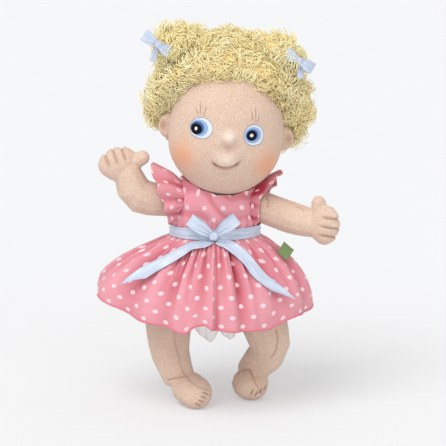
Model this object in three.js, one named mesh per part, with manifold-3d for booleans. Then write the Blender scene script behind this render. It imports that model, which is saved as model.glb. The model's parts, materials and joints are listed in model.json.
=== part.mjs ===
// A stuffed cloth doll in a dotted dress, standing, with joints at the neck, shoulders and hips.
// Millimetres. Z is up, the doll faces -Y and its own left side is +X.
import * as THREE from 'three';
import { mergeVertices } from 'three/addons/utils/BufferGeometryUtils.js';
import Module from 'manifold-3d';

const wasm = await Module();
wasm.setup();

// Gaps between pieces
const seatGap = 0.3;
const jointGap = 0.5;

// The side of a block that cuts right through the doll
const throughCut = 300;

// Stuffed body: heights are measured from the floor, hips and shoulders are joint centres
const hipHeight = 78;
const hipSpacing = 80;
const waistRise = 73;
const shoulderRise = 95;
const shoulderSpacing = 77;
const torsoTopRise = 114;
const crotchDrop = 24;
const chestWidth = 72;
const chestDepth = 50;
const waistWidth = 71;
const waistDepth = 50;
const hipWidth = 92;
const hipDepth = 62;
const chestLeanDegrees = 3.8;
const torsoSides = 22;
const torsoRings = 15;

// Neck
const neckRise = 104;
const neckBallRadius = 12;
const neckTopRise = 128;
const neckRadius = 11;

// Head, in its own upright frame
const headWidth = 96;
const headDepth = 86;
const headHeight = 112;
const headRise = 160;
const headAside = 10;
const headForward = 5;
const headTiltDegrees = 6.5;
const chinClearance = 2.5;
const jawFullness = 0.05;
const noseWidth = 9;
const noseHeight = 8;
const noseProud = 3;
const noseDrop = 3;
const noseAside = 2;
const noseRoot = 2.5;
const earDepth = 14;
const earHeight = 21;
const earProud = 9;
const earBack = 3;
const earDrop = 3;

// Embroidered eyes
const eyeSpacing = 43.5;
const eyeRise = 3.6;
const eyeWidth = 18.6;
const eyeHeight = 17.6;
const irisRadius = 6.6;
const pupilRadius = 4.4;
const catchlightRadius = 1.6;
const glanceAside = 3.2;
const eyeRim = 1;
const embroideryProud = 0.7;

// Hair
const hairPile = 22;
const hairBackPile = 12;
const napeTaper = 0.3;
const napeDrop = 30;
const hairCrown = 11;
const hairLift = 14;
const hairLumps = 1.6;
const hairlineRise = 45;
const hairlineBack = 18;
const hairlineSlopeDegrees = 51;
const bunchRadius = 24;
const bunchSpacing = 80;
const bunchRise = 64;
const bunchAside = 6;
const bunchBack = 2;
const hairRibbonWidth = 7;
const hairBowSpan = 26;
const hairBowAside = 58;
const hairBowForward = -18.5;
const hairBowRise = 66;
const hairBowLeanDegrees = 62;
const hairBowPuff = 2.2;

// Arms
const upperArmLength = 29;
const forearmLength = 19;
const armRadius = 13.6;
const wristRadius = 12.2;
const handLength = 27;
const handWidth = 36;
const handThickness = 21;
const palmRoot = 0.72;
const thumbReach = 25;
const thumbRadius = 6.4;
const fingerScallop = 0.12;
const seamThreadRadius = 0.45;
const seamProud = 0.9;
const armholeMouth = 6;
const armholeFlare = 3;

// Legs
const thighRadius = 21;
const calfRadius = 17.2;
const ankleRadius = 14.6;
const footWidth = 33;
const footThickness = 30;
const toeShare = 0.27;
const soleFlat = 1;
const hipForwardDegrees = 62;
const hipBackDegrees = 42;

// Dress
const clothThickness = 1.2;
const clothClearance = 0.4;
const skirtTuck = 4;
const skirtHem = 78;
const skirtLiftRight = 22;
const skirtLiftLeft = 8;
const skirtBackLift = 4;
const skirtColumns = 58;
const skirtRows = 8;
const skirtReachRight = 104;
const skirtReachLeft = 84;
const skirtReachFront = 66;
const skirtReachBack = 66;
const skirtFolds = 13;
const skirtFoldDepth = 5.5;
const frontPleat = 3.5;
const backOpening = 1.2;
const armholeEase = 3.4;
const sleeveProud = 2.4;
const sleeveEase = 1.2;
const sleeveReach = 17;
const sleeveRuffles = 5;
const sleeveRuffleDepth = 1.6;
const sleeveStand = 13;
const sleeveStartDegrees = -48;

// Waist ribbon and its bow
const ribbonWidth = 9.2;
const ribbonThickness = 0.7;
const bowLoopLength = 27;
const bowLoopWidth = 13;
const bowKnotSize = 9;
const bowAside = 1;
const bowPuff = 3;
const bowLoopDegrees = { right: 145, left: 38 };
const bowTailWidth = 10.5;
const tailSlant = 0.08;

// Bloomers, woven label and back closure
const bloomersRise = 36;
const elasticWidth = 6;
const elasticInset = 1;
const labelSide = 11.5;
const labelTurnDegrees = 70;
const labelDrop = 0.18;
const labelLift = 1.6;
const labelLeanDegrees = 18;
const labelSwingDegrees = 30;
const closureWidth = 9;
const closureRise = 7;
const closureDrop = 9;

const skin = '#d8b79d';
const hairYarn = '#e8d592';
const dressPink = '#e7899b';
const ribbonBlue = '#c6d9ea';

function smooth(a, b, value) {
    return THREE.MathUtils.smoothstep(value, a, b);
}

const sides = ['right', 'left'];

function vec(x, y, z) {
    return new THREE.Vector3(x, y, z);
}

function closedMesh(points, faces) {
    const geometry = new THREE.BufferGeometry();
    const places = points.flatMap((p) => [p.x, p.y, p.z]);
    geometry.setAttribute('position', new THREE.Float32BufferAttribute(places, 3));
    geometry.setIndex(faces.flat());
    return geometry;
}

// Solids are joined and cut as manifolds, and handed back as plain geometries.
function solid(geometry) {
    const plain = geometry.clone();
    plain.deleteAttribute('normal');
    plain.deleteAttribute('uv');
    const merged = mergeVertices(plain, 1e-4);
    const corners = [];
    for (let i = 0; i < merged.index.count; i += 3) {
        const [a, b, c] = [0, 1, 2].map((k) => merged.index.getX(i + k));
        if (a !== b && b !== c && c !== a) corners.push(a, b, c);
    }
    return new wasm.Manifold(new wasm.Mesh({
        numProp: 3,
        vertProperties: new Float32Array(merged.attributes.position.array),
        triVerts: new Uint32Array(corners),
    }));
}

function toGeometry(manifold) {
    const mesh = manifold.getMesh();
    const geometry = new THREE.BufferGeometry();
    geometry.setAttribute('position', new THREE.Float32BufferAttribute(mesh.vertProperties, 3));
    geometry.setIndex([...mesh.triVerts]);
    return geometry;
}

function box(width, depth, height, x, y, z) {
    return solid(new THREE.BoxGeometry(width, depth, height).translate(x, y, z));
}

function ball(radius, centre, across = 18, down = 12) {
    return solid(new THREE.SphereGeometry(radius, across, down).translate(centre.x, centre.y, centre.z));
}

// Moves every point of a closed form along its normal.
function offset(geometry, distance) {
    const grown = geometry.clone();
    grown.computeVertexNormals();
    const position = grown.attributes.position;
    const normal = grown.attributes.normal;
    for (let i = 0; i < position.count; i += 1) {
        const point = vec().fromBufferAttribute(position, i);
        point.addScaledVector(vec().fromBufferAttribute(normal, i), distance);
        position.setXYZ(i, point.x, point.y, point.z);
    }
    return grown;
}

function shell(form, inner, outer) {
    return solid(offset(form, outer)).subtract(solid(offset(form, inner)));
}

// A closed form through a row of rings, with a point at each end.
function skinned(start, rings, end) {
    const sides = rings[0].length;
    const points = [start, ...rings.flat(), end];
    const last = points.length - 1;
    const at = (ring, side) => 1 + ring * sides + (side % sides);
    const faces = [];
    for (let side = 0; side < sides; side += 1) {
        faces.push([0, at(0, side + 1), at(0, side)]);
        for (let ring = 0; ring < rings.length - 1; ring += 1) {
            faces.push([at(ring, side), at(ring, side + 1), at(ring + 1, side + 1)]);
            faces.push([at(ring, side), at(ring + 1, side + 1), at(ring + 1, side)]);
        }
        faces.push([at(rings.length - 1, side), at(rings.length - 1, side + 1), last]);
    }
    return closedMesh(points, faces);
}

// A station of a stuffed limb: a point, the half width across it and the half thickness along depth.
function station(point, width, thick) {
    return { point, width, thick };
}

// A stuffed limb: ellipses along a smooth line through its stations, with both ends rounded off.
function stuffed(stations, sides, rings, depth = vec(0, 1, 0)) {
    const line = new THREE.CatmullRomCurve3(stations.map((s) => s.point), false, 'centripetal');
    const sizes = new THREE.CatmullRomCurve3(stations.map((s) => vec(s.width, s.thick, 0)));
    const reach = line.getLength();
    const capRings = 4;
    const startCap = stations[0].width / reach;
    const endCap = stations[stations.length - 1].thick / reach;
    const places = [];
    for (let i = 1; i <= capRings; i += 1) {
        const turn = (Math.PI / 2) * (i / capRings);
        places.push([startCap * (1 - Math.cos(turn)), Math.sin(turn)]);
    }
    for (let i = 1; i < rings; i += 1) places.push([startCap + (i / rings) * (1 - startCap - endCap), 1]);
    for (let i = capRings; i >= 1; i -= 1) {
        const turn = (Math.PI / 2) * (i / capRings);
        places.push([1 - endCap * (1 - Math.cos(turn)), Math.sin(turn)]);
    }
    const hoops = places.map(([along, fullness]) => {
        const t = line.getUtoTmapping(along);
        const centre = line.getPoint(t);
        const size = sizes.getPoint(t);
        const tangent = line.getTangent(t);
        const across = vec().crossVectors(tangent, depth).normalize();
        const out = vec().crossVectors(across, tangent).normalize();
        return hoop(sides, (angle) => centre.clone()
            .addScaledVector(across, fullness * size.x * Math.cos(angle))
            .addScaledVector(out, fullness * size.y * Math.sin(angle)));
    });
    return outward(skinned(line.getPoint(0), hoops, line.getPoint(1)));
}

function hoop(sides, place) {
    return Array.from({ length: sides }, (_, k) => place((2 * Math.PI * k) / sides));
}

// Turns a closed form right side out.
function outward(geometry) {
    const position = geometry.attributes.position;
    const index = geometry.index;
    let volume = 0;
    for (let i = 0; i < index.count; i += 3) {
        const [a, b, c] = [0, 1, 2].map((k) => vec().fromBufferAttribute(position, index.getX(i + k)));
        volume += a.dot(b.cross(c));
    }
    if (volume > 0) return geometry;
    const flipped = [];
    for (let i = 0; i < index.count; i += 3) {
        flipped.push(index.getX(i), index.getX(i + 2), index.getX(i + 1));
    }
    geometry.setIndex(flipped);
    return geometry;
}

// A sheet of cloth or ribbon with real thickness, from its middle surface over u and v in 0 to 1.
function sheet(surface, columns, rows, thickness) {
    const faces = [];
    const sides = [[], []];
    const step = 1e-3;
    for (let j = 0; j <= rows; j += 1) {
        for (let i = 0; i <= columns; i += 1) {
            const u = i / columns;
            const v = j / rows;
            const along = surface(Math.min(u + step, 1), v).sub(surface(Math.max(u - step, 0), v));
            const down = surface(u, Math.min(v + step, 1)).sub(surface(u, Math.max(v - step, 0)));
            const normal = along.cross(down).normalize();
            const middle = surface(u, v);
            sides[0].push(middle.clone().addScaledVector(normal, thickness / 2));
            sides[1].push(middle.clone().addScaledVector(normal, -thickness / 2));
        }
    }
    const count = sides[0].length;
    const at = (i, j) => j * (columns + 1) + i;
    for (let j = 0; j < rows; j += 1) {
        for (let i = 0; i < columns; i += 1) {
            const [a, b, c, d] = [at(i, j), at(i + 1, j), at(i + 1, j + 1), at(i, j + 1)];
            faces.push([a, b, c], [a, c, d]);
            faces.push([a + count, c + count, b + count], [a + count, d + count, c + count]);
        }
    }
    const rim = [];
    for (let i = 0; i < columns; i += 1) rim.push([at(i, 0), at(i + 1, 0)]);
    for (let j = 0; j < rows; j += 1) rim.push([at(columns, j), at(columns, j + 1)]);
    for (let i = columns; i > 0; i -= 1) rim.push([at(i, rows), at(i - 1, rows)]);
    for (let j = rows; j > 0; j -= 1) rim.push([at(0, j), at(0, j - 1)]);
    for (const [a, b] of rim) faces.push([b, a, a + count], [b, a + count, b + count]);
    return outward(closedMesh([...sides[0], ...sides[1]], faces));
}

const doll = new THREE.Group();
doll.name = 'cloth_doll';

function add(parent, name, body, color, roughness = 0.9) {
    const geometry = toGeometry(body);
    geometry.computeVertexNormals();
    const mesh = new THREE.Mesh(geometry, new THREE.MeshStandardMaterial({ color, roughness, metalness: 0 }));
    mesh.name = name;
    parent.add(mesh);
    return mesh;
}

// Body landmarks
const hip = { right: vec(-hipSpacing / 2, 0, hipHeight), left: vec(hipSpacing / 2, 0, hipHeight) };
const shoulderHeight = hipHeight + shoulderRise;
const waistHeight = hipHeight + waistRise;
const torsoTop = hipHeight + torsoTopRise;

// The chest leans to the doll's left, more and more from the waist up to the shoulders.
function leaning(point, way = 1) {
    const risen = smooth(waistHeight, shoulderHeight, point.z);
    const lean = way * THREE.MathUtils.degToRad(chestLeanDegrees) * risen;
    const pivot = vec(0, 0, waistHeight);
    return point.sub(pivot).applyAxisAngle(vec(0, 1, 0), lean).add(pivot);
}

const shoulder = {
    right: leaning(vec(-shoulderSpacing / 2, 0, shoulderHeight)),
    left: leaning(vec(shoulderSpacing / 2, 0, shoulderHeight)),
};
const neckBase = leaning(vec(0, 0, hipHeight + neckRise));
const headCentre = vec(headAside, -headForward, hipHeight + headRise);
const headTilt = THREE.MathUtils.degToRad(headTiltDegrees);

// Torso: level ellipses that swell at the chest and hips and close over the shoulders and the seat.
const torsoBottom = hipHeight - crotchDrop;
const torsoLevels = new THREE.CatmullRomCurve3([
    [torsoBottom, 0, 0],
    [torsoBottom + 1, 0.32 * hipWidth, 0.3 * hipDepth],
    [torsoBottom + 9, 0.72 * hipWidth, 0.66 * hipDepth],
    [hipHeight, 0.93 * hipWidth, 0.9 * hipDepth],
    [hipHeight + 18, hipWidth, hipDepth],
    [(hipHeight + waistHeight) / 2 + 12, (hipWidth + waistWidth) / 2, (hipDepth + waistDepth) / 2],
    [waistHeight, waistWidth, waistDepth],
    [(waistHeight + shoulderHeight) / 2, chestWidth, chestDepth],
    [shoulderHeight, 0.97 * chestWidth, 0.93 * chestDepth],
    [torsoTop - 5, 0.88 * chestWidth, 0.74 * chestDepth],
    [torsoTop - 1, 0.7 * chestWidth, 0.48 * chestDepth],
    [torsoTop, 0, 0],
].map(([z, width, depth]) => vec(width / 2, depth / 2, z)), false, 'centripetal');

function torsoForm() {
    const rings = [];
    for (let i = 1; i < torsoRings; i += 1) {
        const size = torsoLevels.getPoint(i / torsoRings);
        rings.push(hoop(torsoSides, (angle) => {
            return leaning(vec(size.x * Math.cos(angle), size.y * Math.sin(angle), size.z));
        }));
    }
    return outward(skinned(vec(0, 0, torsoBottom), rings, leaning(vec(0, 0, torsoTop))));
}

const torsoSkin = torsoForm();

// The room that a thigh needs as it swings about the hip's sideways axis, drawn from the side.
function thighRoom(side, clearance) {
    const radius = thighRadius + clearance;
    const forward = THREE.MathUtils.degToRad(hipForwardDegrees);
    const back = THREE.MathUtils.degToRad(-hipBackDegrees);
    const reach = 4 * thighRadius;
    const at = (angle, out, aside) => new THREE.Vector2(
        -out * Math.sin(angle) - aside * Math.cos(angle),
        -out * Math.cos(angle) + aside * Math.sin(angle),
    );
    const frontRoot = at(forward, 0, radius);
    const backRoot = at(back, 0, -radius);
    const outline = new THREE.Shape();
    outline.moveTo(backRoot.x, backRoot.y);
    const [from, to] = [backRoot, frontRoot].map((p) => Math.atan2(p.y, p.x));
    outline.absarc(0, 0, radius, from, to, false);
    const farCorner = at((forward + back) / 2, 2 * reach, 0);
    for (const corner of [at(forward, reach, radius), farCorner, at(back, reach, -radius)]) {
        outline.lineTo(corner.x, corner.y);
    }
    const innerEdge = hipSpacing / 2 - thighRadius - clearance;
    const extent = { depth: hipWidth, bevelEnabled: false, curveSegments: 14 };
    const room = new THREE.ExtrudeGeometry(outline, extent);
    room.applyMatrix4(new THREE.Matrix4().makeBasis(vec(0, 1, 0), vec(0, 0, 1), vec(1, 0, 0)));
    if (side === 'right') room.translate(-innerEdge - hipWidth, 0, hipHeight);
    else room.translate(innerEdge, 0, hipHeight);
    return solid(room);
}

// The hollow that an arm turns in: a ball with a wider mouth, so that the arm clears it when raised.
function armRoom(side, clearance) {
    const mouth = shoulder[side].clone();
    mouth.x += Math.sign(mouth.x) * armholeMouth;
    const room = ball(armRadius + clearance, shoulder[side], 24, 16);
    return room.add(ball(armRadius + clearance + armholeFlare, mouth));
}

// The shallow hollow under the head, wide enough for it to turn and nod.
function headRoom(clearance) {
    const rise = vec(0, 0, 1).applyAxisAngle(vec(0, 1, 0), headTilt);
    const centre = neckBase.clone().addScaledVector(rise, headRise - neckRise);
    const radius = headWidth / 2 + headForward / 2 + clearance;
    const room = new THREE.SphereGeometry(1, 24, 18).scale(radius, radius, headHeight / 2 + clearance);
    return solid(room.rotateY(headTilt).translate(centre.x, centre.y, centre.z));
}

function torso() {
    let body = solid(torsoSkin).subtract(ball(neckBallRadius + jointGap, neckBase));
    body = body.subtract(headRoom(chinClearance));
    for (const side of sides) {
        body = body.subtract(thighRoom(side, jointGap)).subtract(armRoom(side, jointGap));
    }
    return body;
}

// Head: a full oval with rounded cheeks and a small pinched nose.
function headForm() {
    const form = new THREE.SphereGeometry(1, 24, 16).rotateX(Math.PI / 2);
    const position = form.attributes.position;
    for (let i = 0; i < position.count; i += 1) {
        const p = vec().fromBufferAttribute(position, i);
        const jaw = 1 + jawFullness * Math.exp(-(((p.z + 0.55) / 0.33) ** 2));
        position.setXYZ(i, (p.x * jaw * headWidth) / 2, (p.y * headDepth) / 2, (p.z * headHeight) / 2);
    }
    form.deleteAttribute('normal');
    form.deleteAttribute('uv');
    return outward(mergeVertices(form, 1e-3));
}

const headSkin = headForm();

// The neck is a short stuffed column, from a ball in the torso up into the head.
function neckForm(clearance) {
    const rise = vec(0, 0, 1).applyAxisAngle(vec(0, 1, 0), headTilt);
    const at = (along) => neckBase.clone().addScaledVector(rise, along);
    const ballSize = neckBallRadius + clearance;
    const columnSize = neckRadius + clearance;
    return stuffed([
        station(at(-ballSize), ballSize, ballSize),
        station(at(0), ballSize, ballSize),
        station(at(neckTopRise - neckRise - columnSize), columnSize, columnSize),
        station(at(neckTopRise - neckRise + clearance), columnSize, columnSize),
    ], 14, 3);
}

function head() {
    const nose = solid(new THREE.SphereGeometry(1, 12, 8)
        .scale(noseWidth / 2, noseProud + noseRoot, noseHeight / 2)
        .translate(noseAside, -headDepth / 2 + noseRoot, -noseDrop));
    const socket = neckForm(jointGap);
    socket.translate(-headCentre.x, -headCentre.y, -headCentre.z).rotateY(-headTilt);
    return solid(headSkin).add(nose).subtract(solid(socket));
}

function earForm(side, grow) {
    return solid(new THREE.SphereGeometry(1, 12, 8)
        .scale(earProud + grow, earDepth / 2 + grow, earHeight / 2 + grow)
        .translate((outwards(side) * headWidth) / 2, earBack, -earDrop));
}

function ear(side) {
    return largest(earForm(side, 0).subtract(solid(offset(headSkin, seatGap))));
}

// The biggest body of a cut form, without its loose crumbs.
function largest(manifold) {
    return manifold.decompose().reduce((best, piece) => (piece.volume() > best.volume() ? piece : best));
}

// A round or oval prism from front to back, for cutting patches of embroidery.
function prism(halfWidth, halfHeight, x, z) {
    const disc = new THREE.CylinderGeometry(1, 1, headDepth, halfWidth > irisRadius ? 20 : 14);
    return solid(disc.scale(halfWidth, 1, halfHeight).translate(x, -headDepth / 2, z));
}

// Each eye is four fields of satin stitch, side by side in a thin skin on the face.
function addEyes(parent) {
    const stitched = shell(headSkin, seatGap, seatGap + embroideryProud);
    for (const side of sides) {
        const x = (outwards(side) * eyeSpacing) / 2;
        const gaze = x - glanceAside;
        const eye = prism(eyeWidth / 2, eyeHeight / 2, x, eyeRise);
        const disc = (radius, grow) => prism(radius + grow, radius + grow, gaze, eyeRise);
        const field = (grow) => prism(
            eyeWidth / 2 - eyeRim + grow, eyeHeight / 2 - eyeRim + grow, x, eyeRise,
        ).intersect(disc(irisRadius, grow));
        const white = eye.subtract(field(seatGap));
        const iris = field(0).subtract(disc(pupilRadius, seatGap));
        const pupil = disc(pupilRadius, 0).subtract(disc(catchlightRadius, seatGap));
        const catchlight = disc(catchlightRadius, 0);
        const place = (name, column, color) => {
            add(parent, `${side}_${name}`, stitched.intersect(column), color);
        };
        place('eye_white', white, '#f4f2ee');
        place('iris', iris, '#6f94cf');
        place('pupil', pupil, '#0b0b14');
        place('catchlight', catchlight, '#ffffff');
    }
}

// Hair: a lumpy wig of looped yarn, open over the face, with a bunch over each temple.
function lumpy(radii, lumps, depth, across, down) {
    const form = new THREE.SphereGeometry(1, across, down);
    const position = form.attributes.position;
    for (let i = 0; i < position.count; i += 1) {
        const p = vec().fromBufferAttribute(position, i);
        const wave = Math.sin(lumps * p.x + 1.1) * Math.sin(lumps * p.y + 0.4) * Math.sin(lumps * p.z + 2.3);
        const reach = 1 + (depth * wave) / radii.z;
        position.setXYZ(i, p.x * radii.x * reach, p.y * radii.y * reach, p.z * radii.z * reach);
    }
    return form;
}

function outwards(side) {
    return side === 'right' ? -1 : 1;
}

function bunchCentre(side) {
    return vec((outwards(side) * bunchSpacing) / 2 - bunchAside, bunchBack, bunchRise);
}

function bunch(side) {
    const centre = bunchCentre(side);
    const radii = vec(bunchRadius, bunchRadius - 2, bunchRadius - 3);
    return solid(lumpy(radii, 5, hairLumps, 12, 8).translate(centre.x, centre.y, centre.z));
}

function wig() {
    const radii = vec(headWidth / 2 + hairPile, headDepth / 2 + hairBackPile, headHeight / 2 + hairCrown);
    const form = lumpy(radii, 6, 2 * hairLumps, 24, 15).translate(0, hairBackPile, hairLift);
    const position = form.attributes.position;
    for (let i = 0; i < position.count; i += 1) {
        const drawnIn = 1 - napeTaper * smooth(-5, 45, -position.getZ(i));
        position.setX(i, position.getX(i) * drawnIn);
    }
    const pile = solid(form);
    const slope = THREE.MathUtils.degToRad(hairlineSlopeDegrees);
    const front = new THREE.BoxGeometry(3 * headWidth, 3 * headHeight, 2 * headHeight);
    front.translate(0, 0, -headHeight).rotateX(-slope);
    front.translate(0, hairlineBack - headDepth / 2, hairlineRise);
    const nape = box(throughCut, throughCut, headHeight, 0, 0, -napeDrop - headHeight / 2);
    return pile.subtract(solid(front)).subtract(nape);
}

function addHair(parent) {
    const ears = earForm('right', seatGap).add(earForm('left', seatGap));
    const room = solid(offset(headSkin, seatGap)).add(ears);
    const cap = wig();
    for (const side of sides) {
        const hairBunch = bunch(side).subtract(solid(offset(toGeometry(cap), seatGap)));
        add(parent, `${side}_hair_bunch`, largest(hairBunch), hairYarn);
    }
    add(parent, 'hair', largest(cap.subtract(room)), hairYarn);
}

// Arms are strung along headings measured in the doll's upright plane, swung forward about Z.
const armPose = {
    right: { upper: 168, fore: 114, hand: 110, aside: 5, thumb: 46, forward: 6, elbow: 15.2 },
    left: { upper: -13, fore: -8, hand: -8, aside: 1.5, thumb: 74, forward: 30, elbow: 13.8 },
};

function heading(degrees, length, forwardDegrees) {
    const angle = THREE.MathUtils.degToRad(degrees);
    const forward = THREE.MathUtils.degToRad(forwardDegrees);
    const flat = length * Math.cos(angle);
    return vec(flat * Math.cos(forward), -Math.abs(flat) * Math.sin(forward), length * Math.sin(angle));
}

// The hand is a flattened oval with its finger ends scalloped, and a thumb beside it.
function hand(wrist, pose) {
    const palm = new THREE.SphereGeometry(1, 14, 10).rotateZ(-Math.PI / 2);
    const position = palm.attributes.position;
    for (let i = 0; i < position.count; i += 1) {
        const p = vec().fromBufferAttribute(position, i);
        const between = 0.5 - 0.5 * Math.cos(4 * Math.PI * (p.z + 1));
        const scallop = 1 - fingerScallop * smooth(0.1, 0.9, p.x) * between;
        const widen = 0.74 + 0.26 * smooth(-1, 0.4, p.x);
        const along = ((p.x * scallop + palmRoot) * handLength) / (1 + palmRoot);
        position.setXYZ(i, along, (p.y * handThickness) / 2, (p.z * widen * handWidth) / 2);
    }
    const turned = THREE.MathUtils.degToRad(pose.hand);
    const forward = THREE.MathUtils.degToRad(pose.forward) * Math.sign(Math.cos(turned));
    palm.translate(0, 0, pose.aside).rotateY(-turned).rotateZ(-forward).translate(wrist.x, wrist.y, wrist.z);
    const tip = wrist.clone().add(heading(pose.thumb, thumbReach, pose.forward));
    const thumb = stuffed([
        station(wrist.clone().add(heading(pose.hand, thumbRadius, pose.forward)), thumbRadius, thumbRadius),
        station(tip, thumbRadius, thumbRadius),
    ], 8, 2);
    return solid(palm).add(solid(thumb));
}

function arm(side) {
    const pose = armPose[side];
    const root = shoulder[side];
    const elbow = root.clone().add(heading(pose.upper, upperArmLength, pose.forward));
    const wrist = elbow.clone().add(heading(pose.fore, forearmLength, pose.forward));
    const limb = stuffed([
        station(root.clone().sub(heading(pose.upper, armRadius, pose.forward)), armRadius, armRadius),
        station(root, armRadius, armRadius),
        station(elbow, pose.elbow, pose.elbow),
        station(wrist, wristRadius, wristRadius),
        station(
            wrist.clone().add(heading(pose.hand, handLength / 2, pose.forward)),
            wristRadius * 0.8,
            wristRadius * 0.7,
        ),
    ], 12, 6);
    return solid(limb).add(hand(wrist, pose));
}

// Half of the torso's width and depth at a height.
function torsoHalf(height) {
    let [low, high] = [0, 1];
    for (let i = 0; i < 30; i += 1) {
        const middle = (low + high) / 2;
        if (torsoLevels.getPoint(middle).z < height) low = middle;
        else high = middle;
    }
    return torsoLevels.getPoint(low);
}

// A point of the armhole: on a ball about the joint, as far in as the surface of the body, or proud of it.
function armholePoint(side, angle, radius, proud) {
    const centre = shoulder[side];
    let [out, inward] = [0, radius];
    const at = (depth) => {
        const reach = Math.sqrt(Math.max(0, radius ** 2 - depth ** 2));
        const across = centre.x - outwards(side) * depth;
        return vec(across, -reach * Math.cos(angle), centre.z + reach * Math.sin(angle));
    };
    for (let i = 0; i < 30; i += 1) {
        const middle = (out + inward) / 2;
        const p = leaning(at(middle), -1);
        const half = torsoHalf(Math.min(p.z, torsoTop));
        if ((p.x / (half.x + proud)) ** 2 + (p.y / (half.y + proud)) ** 2 > 1) out = middle;
        else inward = middle;
    }
    return at(out);
}

// The ladder stitch that holds an arm on is a ring of thread round the rim of its hollow.
function shoulderSeam(side) {
    const reach = armRadius + seatGap + 2 * seamThreadRadius;
    const rings = hoop(26, (angle) => {
        const middle = armholePoint(side, angle, reach, seamProud);
        const out = middle.clone().sub(shoulder[side]).normalize();
        const along = armholePoint(side, angle + 0.05, reach, seamProud).sub(middle).normalize();
        const across = vec().crossVectors(out, along);
        return hoop(5, (turn) => middle.clone()
            .addScaledVector(out, seamThreadRadius * Math.cos(turn))
            .addScaledVector(across, seamThreadRadius * Math.sin(turn)));
    });
    const faces = rings.flatMap((ring, i) => ring.flatMap((_, k) => {
        const [here, next] = [i, (i + 1) % rings.length].map((row) => row * ring.length);
        const [a, b] = [k, (k + 1) % ring.length];
        return [[here + a, next + a, next + b], [here + a, next + b, here + b]];
    }));
    return solid(outward(closedMesh(rings.flat(), faces)));
}

// Legs: knee and ankle are measured from the hip, and the foot from the point on the floor under it.
// The right foot is set forward and turned in.
const legPose = {
    right: { knee: vec(1, -1, -34), ankle: vec(7, -4, -52), heel: [9, 2], ball: [21, -16], toe: [27, -35] },
    left: { knee: vec(7, 5, -34), ankle: vec(-5, 14, -52), heel: [-9, 21], ball: [-9, 3], toe: [-2, -11] },
};

function leg(side) {
    const pose = legPose[side];
    const root = hip[side];
    const at = (fromHip) => root.clone().add(fromHip);
    const onSole = ([x, y], thickness) => vec(root.x + x, y, thickness / 2 - soleFlat);
    const heel = onSole(pose.heel, footThickness);
    const ball = onSole(pose.ball, 0.9 * footThickness);
    const toe = onSole(pose.toe, 2 * toeShare * footThickness);
    const limb = stuffed([
        station(at(vec(0, 0, thighRadius)), thighRadius, thighRadius),
        station(root, thighRadius, thighRadius),
        station(at(pose.knee), calfRadius, calfRadius),
        station(at(pose.ankle), ankleRadius, ankleRadius),
        station(heel, ankleRadius, ankleRadius * 0.7),
    ], 12, 6);
    const foot = stuffed([
        station(heel, 0.42 * footWidth, footThickness / 2),
        station(ball, footWidth / 2, 0.45 * footThickness),
        station(toe, toeShare * footWidth, toeShare * footThickness),
    ], 12, 5, vec(0, 0, 1));
    const underfoot = box(throughCut, throughCut, throughCut, 0, 0, -throughCut / 2);
    return solid(limb).add(solid(foot)).subtract(underfoot);
}

// Dress. The bodice is a fitted skin over the chest, open down the middle of the back.
const clothOuter = clothClearance + clothThickness;

function bodice() {
    const top = torsoTop + 2 * clothOuter;
    const height = top - waistHeight;
    const above = box(throughCut, throughCut, height, 0, 0, top - height / 2);
    let cloth = shell(torsoSkin, clothClearance, clothOuter).intersect(above);
    cloth = cloth.subtract(headRoom(chinClearance + clothOuter + seatGap));
    for (const side of sides) cloth = cloth.subtract(ball(armRadius + armholeEase, shoulder[side], 24, 16));
    return cloth.subtract(box(backOpening, throughCut, throughCut, 0, throughCut / 2, waistHeight));
}

// A frill along the armhole, widest over the shoulder and nothing at the underarm.
function sleeve(side) {
    const from = THREE.MathUtils.degToRad(sleeveStartDegrees);
    const to = Math.PI - from;
    const seam = armRadius + armholeEase / 2;
    const centre = shoulder[side];
    const surface = (u, v) => {
        const angle = from + (to - from) * u;
        const root = armholePoint(side, angle, seam, sleeveProud);
        const width = Math.sin(Math.PI * (0.03 + 0.94 * u));
        const over = Math.max(0, Math.sin(angle));
        const inward = Math.abs(root.x - centre.x);
        const wave = sleeveRuffleDepth * v * Math.sin(2 * Math.PI * sleeveRuffles * u);
        const rise = Math.hypot(root.y, root.z - centre.z);
        const stand = sleeveEase + width * sleeveStand * (0.45 + 0.55 * over);
        const radius = rise + (seam - rise) * smooth(0, 0.5, v) + v * stand + wave;
        const out = v * (2 + inward + sleeveReach * width * (0.55 + 0.45 * over)) - inward;
        const carried = Math.max(0, out) * Math.tan(THREE.MathUtils.degToRad(armPose[side].forward));
        return vec(
            centre.x + outwards(side) * out,
            -radius * Math.cos(angle) - carried,
            centre.z + radius * Math.sin(angle),
        );
    };
    return solid(sheet(surface, 22, 4, clothThickness));
}

// The skirt hangs from the waist as one gathered tube, longer at the front than at the sides.
// Its folds open towards the hem, and one folds over itself at the middle of the front.
const skirtTop = waistHeight - seatGap;

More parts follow.
